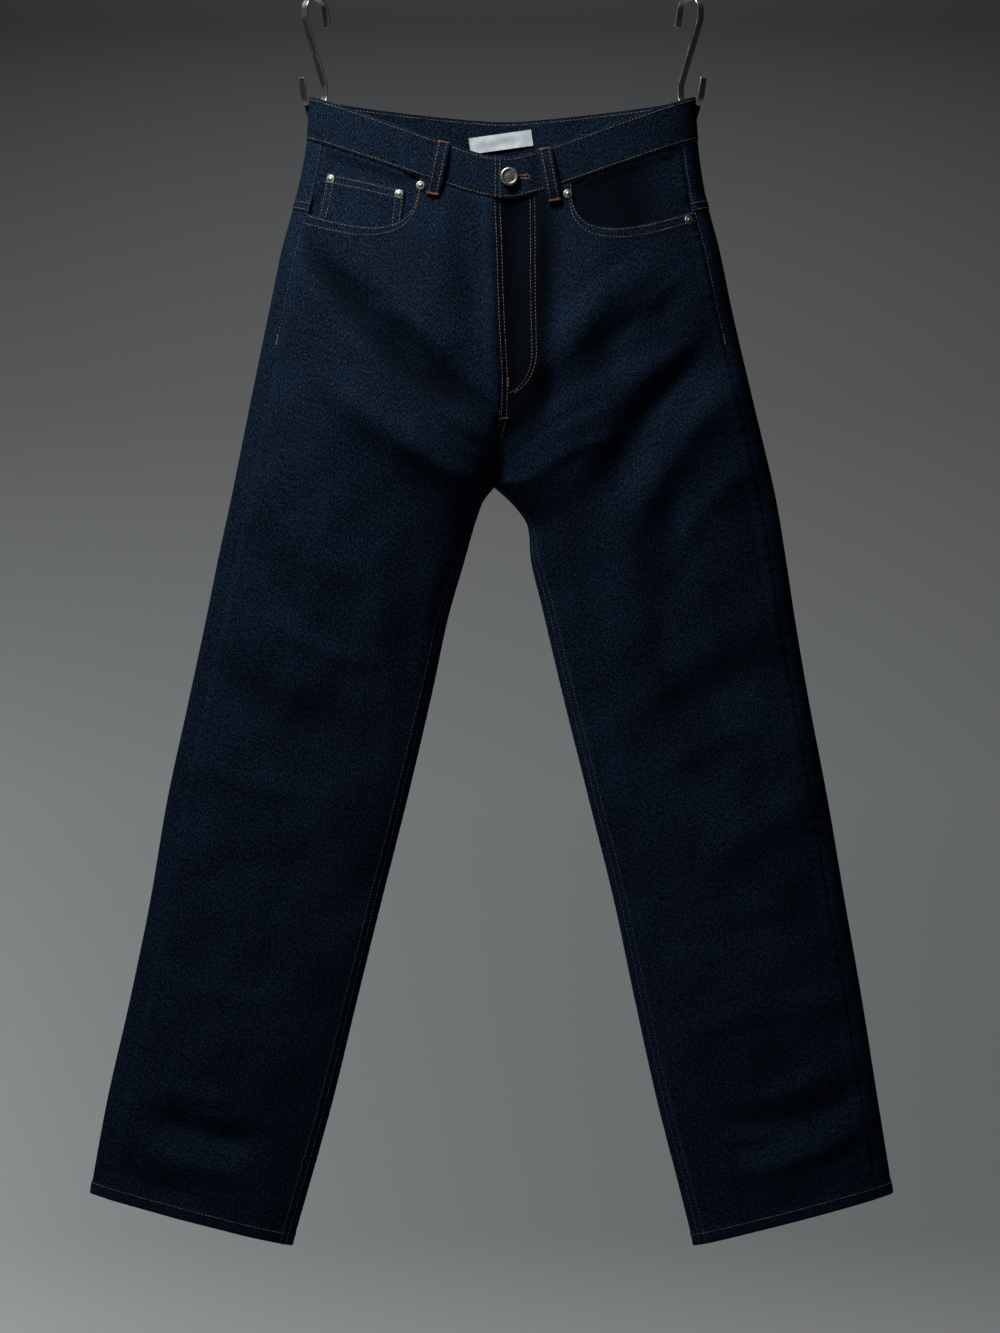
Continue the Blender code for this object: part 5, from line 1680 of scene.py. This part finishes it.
@dataclass
class Label:
    """A bare satin label, sewn inside the back of the waistband at its ends."""

    form: Form
    band: Waistband
    size: Pair = (0.061, 0.0155)
    middle: Pair = (-0.0015, -0.1318)
    tilt: float = math.radians(8)
    thickness: float = 0.0006
    gap: float = 0.0005
    grid: tuple[int, int] = (14, 40)
    slack: float = 0.0006  # how far its middle hangs off the band
    rumple: Pair = (0.3, 500)  # of the slack: how much it changes, and how fast in radians

    def build(self, name: str) -> tuple[Piece, Array]:
        """Makes the label, and returns it with the lattice of its face."""
        wide, high = self.size
        across = np.array([math.cos(self.tilt), 0.0, math.sin(self.tilt)])
        up = np.array([-math.sin(self.tilt), 0.0, math.cos(self.tilt)])
        rows, columns = self.grid
        offsets, rises = spread(columns, -wide / 2, wide / 2), spread(rows, high / 2, -high / 2)
        middle = np.array([self.middle[0], 0.0, self.middle[1]])
        lattice = middle + across * offsets[None, :, None] + up * rises[:, None, None]
        below = -lattice[..., 2]
        half = Half.RIGHT
        width = self.form.half_width(half, self.form.waist_top)
        turn = 2 - self.form.turn(np.abs(lattice[..., 0] - self.form.centre_x(below)) / width)
        level = below.copy()
        for _ in range(4):
            level += below + self.form.point(half, turn, level)[..., 2]
        inside = self.form.point(half, turn, level)[..., 1] + self.band.out - self.band.thickness - self.gap
        change, rate = self.rumple
        slack = self.slack * np.cos(np.pi * offsets / wide) * (1 + change * np.sin(rises[:, None] * rate))
        lattice[..., 1] = inside - self.thickness - slack
        back = lattice + (0.0, self.thickness, 0.0)
        return lattice_object(name, lattice, back, grid_of(offsets, rises)), lattice


# ---- sewing


@dataclass
class Sewing:
    """Rows of stitches and bartacks, gathered by thread and made into one piece each."""

    name: str
    pitch: float = 0.0033
    gap: float = 0.0007
    radius: float = 0.0003
    raised: float = 0.45  # of the radius, how far a stitch's middle stands out of the cloth
    tack_pitch: float = 0.00058
    tack_radius: float = 0.00034
    tack_out: float = 0.0003
    tack_lean: float = 0.0002
    sides: int = 6
    rings: int = 5
    parts: list[tuple[Array, ...]] = field(default_factory=list)

    def add(self, centres: Array, runs: Array, ups: Array, radius: float) -> None:
        """Adds stitches by their middles, their whole runs and the normals under them."""
        self.parts.append((centres, runs, unit(ups), np.full(len(centres), radius)))

    def row(self, points: Array, normals: Array, pitch: float | None = None) -> None:
        """Sews a row of running stitches along a line.

        Args:
            points: The line on the cloth.
            normals: The normals there.
            pitch: The stitch length, if it isn't the usual one.
        """
        pitch = pitch or self.pitch
        length = run_lengths(points)
        count = int(length[-1] / pitch)
        if count < 1:
            return
        step = length[-1] / count
        first = np.arange(count) * step + self.gap / 2
        last = first + step - self.gap

        middle = (first + last) / 2
        ups = unit(at_lengths(middle, length, normals))
        runs = at_lengths(last, length, points) - at_lengths(first, length, points)
        proud = ups * self.radius * self.raised
        self.add(at_lengths(middle, length, points) + proud, runs, ups, self.radius)

    def rows(
        self, shell: Shell, edge: Edge, distances: Sequence[float], first: float = 0.0, last: float = 1.0
    ) -> None:
        """Sews rows beside a shell's edge, each at a distance from it."""
        for distance in distances:
            self.row(*shell.beside(edge, distance, first, last))

    def bartack(
        self, centre: Array, run: Array, up: Array, length: float = 0.0085, width: float = 0.002
    ) -> None:
        """Sews a bartack: close zigzag stitches across a short line.

        Args:
            centre: Its middle, on the cloth.
            run: The way it runs.
            up: The normal there.
            length: How long it is.
            width: How wide it is.
        """
        up = unit(np.asarray(up, float))
        run = unit(run - up * (run @ up))
        across = np.cross(up, run)
        count = int(length / self.tack_pitch)
        places = spread(count, -length / 2, length / 2)
        lean = np.where(np.arange(count) % 2, self.tack_lean, -self.tack_lean)[:, None] * run
        centres = centre + run * places[:, None] + up * self.tack_out
        runs = np.broadcast_to(across * width, centres.shape) + lean
        self.add(centres, runs, np.broadcast_to(up, centres.shape), self.tack_radius)

    def stitch(self) -> tuple[Array, list[list[int]]]:
        """Shapes one stitch: a soft capsule of length and radius 1, whose ends dip into the cloth.

        Returns:
            Its points as (along, across, up), and its faces.
        """
        bm = bmesh.new()
        bmesh.ops.create_uvsphere(bm, u_segments=self.sides, v_segments=self.rings, radius=1.0)
        bm.verts.index_update()
        ball = np.array([v.co for v in bm.verts])
        faces = [[v.index for v in face.verts] for face in bm.faces]
        bm.free()
        along = np.sign(ball[:, 2]) * np.abs(ball[:, 2]) ** 0.7 / 2
        dip = 0.9 * np.clip((np.abs(along) - 0.3) / 0.2, 0, 1) ** 2
        return np.stack([along, ball[:, 0], ball[:, 1] - dip], axis=-1), faces

    def build(self) -> Piece:
        """Joins all the stitches into one mesh."""
        centres, runs, ups, sizes = (np.concatenate(values) for values in zip(*self.parts))
        length = np.linalg.norm(runs, axis=1)
        along = runs / length[:, None]
        across = np.cross(ups, along)
        ups = np.cross(along, across)
        template, shape = self.stitch()
        size = sizes[:, None, None]
        points = (
            centres[:, None, :]
            + along[:, None, :] * (template[None, :, 0:1] * length[:, None, None])
            + across[:, None, :] * template[None, :, 1:2] * size
            + ups[:, None, :] * template[None, :, 2:3] * size
        )
        copies = [
            [corner + k * len(template) for corner in face] for k in range(len(centres)) for face in shape
        ]
        mesh = bpy.data.meshes.new(self.name)
        mesh.from_pydata(points.reshape(-1, 3), [], copies)
        mesh.shade_smooth()
        return add_object(mesh)


class FaceFinder:
    """Finds where a line drawn on the front lies on the cloth."""

    def __init__(self, pieces: Sequence[Piece]) -> None:
        """Gathers the pieces' faces."""
        verts, faces = [], []
        for piece in pieces:
            first = len(verts)
            verts += [v.co.copy() for v in piece.data.vertices]
            faces += [tuple(first + v for v in p.vertices) for p in piece.data.polygons]
        self.tree = BVHTree.FromPolygons(verts, faces)

    def at(self, x: float, z: float) -> tuple[Array, Array]:
        """The foremost point at a place, and its normal."""
        hit, normal, _, _ = self.tree.ray_cast(Vector((x, -1.0, z)), Vector((0.0, 1.0, 0.0)))
        if hit is None:
            raise ValueError(f"no cloth at {x:.4f}, {z:.4f}")
        return np.array(hit), np.array(-normal if normal.y > 0 else normal)

    def lay(self, points: Array) -> tuple[Array, Array]:
        """Lays a line of points on the cloth in front of them, and finds the normals there."""
        found = [self.at(float(p[0]), float(p[2])) for p in points]
        return np.array([f[0] for f in found]), np.array([f[1] for f in found])


# ---- the studio


@dataclass(frozen=True)
class Lamp:
    """A square soft box."""

    name: str
    place: tuple[float, float, float]
    aim: tuple[float, float, float]
    size: float
    power: float

    def build(self) -> None:
        """Hangs it where it is, turned to its aim."""
        data = bpy.data.lights.new(self.name, "AREA")
        data.shape, data.size, data.energy = "SQUARE", self.size, self.power
        lamp = add_object(data)
        lamp.location = self.place
        lamp.rotation_euler = (Vector(self.aim) - Vector(self.place)).to_track_quat("-Z", "Y").to_euler()


@dataclass
class Studio:
    """Camera, lamps, and a backdrop of floor and wall in one."""

    middle: Pair = (-0.0024, -0.641)  # of the view, at the cloth
    view_height: float = 1.273
    distance: float = 3.2
    sensor: float = 36.0
    wall_y: float = 7.2
    wall_top: float = 2.5
    floor_z: float = -3.2
    bend: float = 0.8  # the radius between floor and wall
    reach: float = 5.5  # of the floor, to each side and in front
    # painted shade on the backdrop: its grey gets darker from the floor up to the wall's top, between these
    # heights
    tones_from: float = -2.77
    tones_to: float = 1.57
    tones: tuple[tuple[float, str], ...] = (
        (0.0, "#a3a6a7"), (0.4, "#909394"), (0.68, "#636565"), (0.95, "#2b2c2d"),
    )
    room: str = "#8a9096"
    room_strength: float = 0.05
    # a key high on the left, a fill low on the left, and two that light the wall
    lamps: tuple[Lamp, ...] = (
        Lamp("key", (-0.54, -0.58, 0.85), (-0.02, 0.0, -0.5), 0.34, 27.0),
        Lamp("fill", (-0.9, -2.6, -1.5), (0.0, 0.0, -0.9), 1.2, 4.0),
        Lamp("wall_wash", (0.0, 5.5, 3.5), (0.0, 7.2, -2.8), 3.0, 240.0),
        Lamp("low_wash", (-4.2, 5.1, -2.1), (-2.6, 7.2, -2.8), 1.6, 80.0),
    )

    def build(self, form: Form) -> None:
        """Makes all of it."""
        self.camera(form)
        self.backdrop()
        for lamp in self.lamps:
            lamp.build()
        scene = bpy.context.scene
        scene.view_settings.view_transform = "Standard"
        world = bpy.data.worlds.new("dim_room")
        scene.world = world
        world.use_nodes = True
        background = world.node_tree.nodes["Background"]
        background.inputs["Color"].default_value = srgb(self.room)
        background.inputs["Strength"].default_value = self.room_strength

    def camera(self, form: Form) -> None:
        """A long lens, level with the middle of the jeans."""
        data = bpy.data.cameras.new("camera")
        data.sensor_width = self.sensor
        data.lens = self.sensor * self.distance / self.view_height
        camera = add_object(data)
        camera.location = (self.middle[0], form.side_line_y - self.distance, self.middle[1])
        camera.rotation_euler = (math.radians(90), 0.0, 0.0)
        bpy.context.scene.camera = camera

    def backdrop(self) -> None:
        """A floor that curves up into a grey wall, painted darker towards its top: painted shade where the
        lamps' light falls off.
        """
        paint = Paint("painted_backdrop")
        height = paint.node("SeparateXYZ", Vector=paint.place()).outputs["Z"]
        rise = paint.node("MapRange", Value=height, From_Min=self.tones_from, From_Max=self.tones_to)
        colour = paint.ramp(rise.outputs["Result"], *self.tones)
        material = paint.finished(colour, Roughness=0.95, Specular_IOR_Level=0.1)
        bm = bmesh.new()
        bend = [
            (self.wall_y - self.bend * (1 - math.sin(a)), self.floor_z + self.bend * (1 - math.cos(a)))
            for a in spread(16, 0, math.pi / 2)
        ]
        profile = [(-self.reach, self.floor_z), *bend, (self.wall_y, self.wall_top)]
        verts = [bm.verts.new((-self.reach, y, z)) for y, z in profile]
        edges = [bm.edges.new(pair) for pair in zip(verts, verts[1:])]
        swept = bmesh.ops.extrude_edge_only(bm, edges=edges)
        moved = [g for g in swept["geom"] if isinstance(g, bmesh.types.BMVert)]
        bmesh.ops.translate(bm, vec=(2 * self.reach, 0, 0), verts=moved)
        mesh = bpy.data.meshes.new("backdrop")
        bm.to_mesh(mesh)
        bm.free()
        mesh.shade_smooth()
        mesh.materials.append(material)
        wall = add_object(mesh)


# ---- the jeans


class Jeans:
    """Builds every piece in order and dresses it."""

    seam_end = 0.326  # the level where the side seams' topstitching ends in a bartack
    crotch_row = 0.425  # the level where the rows of fly and seat end
    inseam_row = 0.43
    double = (0.0022, 0.0085)  # how far from an edge the two rows of a double seam are
    hem_row = 0.0105
    twin_loops = {  # half: the top's and bottom's distances from the centre, and the lift
        Half.RIGHT: (0.058, 0.0665, 0.0),
        Half.LEFT: (0.038, 0.047, 0.0007),
    }

    def __init__(self) -> None:
        """Makes the form, the makers and the finishes."""
        self.form = Form()
        self.panels = Panels(self.form)
        self.pockets = Pockets(self.form, self.panels)
        self.band = Waistband(self.form)
        self.loops = BeltLoops(self.form)
        self.hooks = Hooks(self.loops)
        self.studs = Studs(self.form)
        self.label = Label(self.form, self.band)
        self.finish = Wardrobe()
        self.shells: dict[str, Shell] = {}
        self.made: dict[str, Piece] = {}
        self.straps: dict[str, tuple[Array, Array]] = {}

    def cloth(self, shell: Shell, node: str, finish: Material | None = None, slot: str = "denim") -> None:
        """Builds a shell, and dresses it as the piece that stands for a node."""
        piece = shell.build()
        dress(piece, finish or self.finish.denim, slot, node)
        self.shells[node] = shell
        self.made[node] = piece

    def sew_cloth(self) -> None:
        """Makes the panels, yokes, pockets, what lies behind the fly, and the waistband."""
        for half in Half:
            self.cloth(self.panels.front(half), f"front_{half.side}")
            self.cloth(self.panels.back(half), f"back_{half.side}")
            self.cloth(self.panels.yoke(half), f"yoke_{half.side}")
            self.cloth(self.pockets.facing(half), f"pocket_facing_{half.side}")
            self.cloth(self.pockets.back(self.shells[f"back_{half.side}"]), f"back_pocket_{half.side}")
        self.cloth(self.pockets.coin(), "coin_pocket")
        facing, tape, shield = self.band.fly()
        self.cloth(facing, "fly_facing")
        self.cloth(tape, "fly_zip", self.finish.tape, "zip_tape")
        self.cloth(shield, "fly_shield")
        self.band_halves = self.band.band()
        band = join_lattices("shell_waistband", self.band_halves)
        dress(band, self.finish.denim, "denim", "waistband")
        self.made["waistband"] = band

    def hang(self) -> None:
        """Makes the belt loops and the hooks."""
        form, side_turn = self.form, self.loops.side_turn
        for half, (top_x, bottom_x, lift) in self.twin_loops.items():
            width = float(form.half_width(half, form.band_bottom))
            top, bottom = (float(form.turn(np.array(x / width))) for x in (top_x, bottom_x))
            self.loop(f"belt_loop_front_{half.side}", LoopPlace(half, top, bottom, lift))
            self.loop(f"belt_loop_side_{half.side}", LoopPlace(half, side_turn, side_turn, hung=True))
            hook = self.hooks.build(half, f"bent_hook_{half.side}")
            dress(hook, self.finish.steel, "steel", f"s_hook_{half.side}")
        self.loop("belt_loop_back", LoopPlace(Half.RIGHT, 2.0, 2.0))

    def loop(self, node: str, place: LoopPlace) -> None:
        """Makes one belt loop."""
        piece, face, outward = self.loops.strap(f"strap_{node}", place)
        dress(piece, self.finish.denim, "denim", node)
        self.straps[node] = (face, outward)

    def stud(self) -> None:
        """Makes the button and the rivets."""
        gap, pockets = self.form.seam_gap, self.pockets
        on_band = self.band.out + self.band.lap_lift + gap
        on_panel = gap + 0.0002
        on_coin = pockets.facing_out[Half.RIGHT] + pockets.layer_gap + pockets.facing_thickness + gap
        for spot in (
            StudPlace("waist_button", Half.LEFT, 0.022, 0.1175, on_band, is_button=True),
            StudPlace("rivet_right_inner", Half.RIGHT, 0.414, 0.148, on_panel),
            StudPlace("rivet_left_inner", Half.LEFT, 0.322, 0.15, on_panel),
            StudPlace("rivet_left_outer", Half.LEFT, 0.888, 0.2105, on_panel),
            StudPlace("rivet_coin_outer", Half.RIGHT, 0.853, 0.169, on_coin),
            StudPlace("rivet_coin_inner", Half.RIGHT, 0.516, 0.1625, on_coin),
        ):
            piece = self.studs.place(spot)
            if spot.is_button:
                self.button = np.mean([v.co for v in piece.data.vertices], axis=0)
            dress(piece, self.finish.pewter, "pewter", spot.node)

    def add_label(self) -> None:
        """Makes the bare label."""
        piece, self.label_face = self.label.build("ribbon_label")
        dress(piece, self.finish.satin, "satin", "waist_label")

    def topstitch(self) -> None:
        """Sews every row and bartack that shows."""
        parts = ("waistband", "fronts", "backs", "pockets")
        self.stitches = {name: Sewing(f"stitching_{name}") for name in parts}
        self.seams = Sewing("stitching_seams")
        self.bartacks = Sewing("stitching_bartacks")
        self.sew_band()
        self.sew_fronts()
        self.sew_backs()
        self.sew_fly()
        self.sew_buttonhole()
        self.sew_loops()
        for sewing in self.stitches.values():
            dress(sewing.build(), self.finish.tan_thread, "denim")
        dress(self.seams.build(), self.finish.navy_thread, "denim")
        dress(self.bartacks.build(), self.finish.copper_thread, "denim")
        ends = Sewing("stitching_label", pitch=0.0024, radius=0.00022)
        for column in (1, -2):
            line = self.label_face[1:-1, column]
            ends.row(line, np.broadcast_to((0.0, -1.0, 0.0), line.shape))
        dress(ends.build(), self.finish.white_thread, "satin")

    def sew_band(self) -> None:
        """Edge rows round the waistband, on both its faces, and down its lapped end."""
        thread = self.stitches["waistband"]
        for half_band in self.band_halves:
            for inside in (False, True):
                thread.row(*half_band.beside(Edge.TOP, 0.003, inside=inside))
                thread.row(*half_band.beside(Edge.BOTTOM, 0.0028, inside=inside))
        thread.rows(self.band_halves[-1], Edge.END, (0.0022, 0.0066))

    def sew_fronts(self) -> None:
        """Double rows round the pocket mouths, down the fly's edge and the inseams, and one at the hems."""
        thread, pockets = self.stitches["fronts"], self.stitches["pockets"]
        mouth = self.panels.band_points / (self.panels.band_points + self.panels.mouth_points - 1)
        for half in Half:
            front = self.shells[f"front_{half.side}"]
            pockets.rows(front, Edge.TOP, (0.002, 0.0094), mouth - 0.01, 1.0)
            thread.rows(front, Edge.BOTTOM, (self.hem_row,))
            self.seams.rows(front, Edge.START, self.double, front.share_at(self.inseam_row), 1.0)
        lap = self.shells["front_left"]
        thread.rows(lap, Edge.START, (0.0018, 0.0066), 0.0, lap.share_at(self.crotch_row))
        for edge in (Edge.TOP, Edge.START, Edge.END):
            pockets.rows(self.shells["coin_pocket"], edge, self.double)

    def sew_backs(self) -> None:
        """Double rows on the yokes, the seat and the back pockets, the side seams' rows, and the hems."""
        thread, pockets = self.stitches["backs"], self.stitches["pockets"]
        for half in Half:
            kinds = ("back", "yoke", "back_pocket")
            back, yoke, patch = (self.shells[f"{kind}_{half.side}"] for kind in kinds)
            thread.rows(back, Edge.BOTTOM, (self.hem_row,))
            thread.rows(yoke, Edge.BOTTOM, self.double)
            self.seams.rows(yoke, Edge.START, (0.002,))
            end = back.share_at(self.seam_end)
            self.seams.rows(back, Edge.START, (0.002,), 0.0, end)
            self.tack(back, Edge.START, 0.0022, end, along=True)
            if half == Half.LEFT:
                thread.rows(back, Edge.END, self.double, 0.0, back.share_at(self.crotch_row))
                thread.rows(yoke, Edge.END, self.double)
            for edge in (Edge.START, Edge.END, Edge.BOTTOM):
                pockets.rows(patch, edge, (0.002, 0.0084))
            pockets.rows(patch, Edge.TOP, (0.0125,))
            for edge in (Edge.START, Edge.END):
                self.tack(patch, edge, 0.005, 0.012, along=False)

    def tack(self, shell: Shell, edge: Edge, distance: float, place: float, along: bool) -> None:
        """Sews a bartack beside an edge, along it or across it."""
        points, normals = shell.beside(edge, distance)
        k = min(max(round(place * (len(points) - 1)), 1), len(points) - 2)
        run = points[k + 1] - points[k - 1]
        if not along:
            run = np.cross(normals[k], run)
        self.bartacks.bartack(points[k], unit(run), normals[k])

    def sew_fly(self) -> None:
        """The double row in a J, and its bartacks."""
        front = FaceFinder([self.made["front_left"], self.made["front_right"]])
        for distance in (0.0006, 0.005):
            curve, _ = self.shells["fly_facing"].beside(Edge.END, distance)
            self.stitches["fronts"].row(*front.lay(curve))
        for x, z, run in ((0.0053, -0.374, (0.0, 0.0, 1.0)), (0.0012, -0.408, (1.0, 0.0, 0.2))):
            spot, up = front.at(x, z)
            self.bartacks.bartack(spot, np.array(run), up)

    def sew_buttonhole(self) -> None:
        """Close stitches along both sides of the buttonhole, and round its eye."""
        band = FaceFinder([self.made["waistband"]])
        x, _, z = (float(value) for value in self.button)
        upright = (0.0, 0.0, 1.0)
        places = [(x + 0.0085 + 0.00052 * k, z + way * 0.0013, upright) for k in range(15) for way in (1, -1)]
        for angle in np.radians(np.arange(-150, 151, 20)):
            way = (math.cos(angle), 0.0, math.sin(angle))
            places.append((x + 0.017 + 0.0021 * way[0], z + 0.0021 * way[2], way))
        for place_x, place_z, way in places:
            spot, up = band.at(place_x, place_z)
            self.bartacks.add(spot[None] + 0.0002 * up, np.array([way]) * 0.0017, up[None], 0.0003)

    def sew_loops(self) -> None:
        """Two rows down each belt loop, and a bartack across each end that shows."""
        thread = self.stitches["waistband"]
        for node, (face, outward) in self.straps.items():
            middle = face.shape[1] // 2
            across = np.linalg.norm(face - face[:, middle : middle + 1], axis=-1)
            # each row runs out from the middle: the left side's columns are taken in reverse
            for columns in (slice(middle, None, -1), slice(middle, None)):
                points = [
                    at_lengths(self.loops.row_in, across[k, columns], face[k, columns])
                    for k in range(1, len(face) - 1)
                ]
                thread.row(np.array(points), outward[1:-1])
            wide = unit(face[0, -1] - face[0, 0])
            for k in (-3,) if "side" in node else (2, -3):
                self.bartacks.bartack(face[k, middle], wide, outward[k], length=0.0105)

    def build(self) -> None:
        """Builds everything in order."""
        self.sew_cloth()
        self.hang()
        self.stud()
        self.add_label()
        self.topstitch()
        Studio().build(self.form)


def main() -> None:
    """Builds the jeans and the studio."""
    logging.basicConfig(level=logging.INFO, format="%(name)s: %(message)s")
    Jeans().build()


if __name__ == "__main__":
    main()
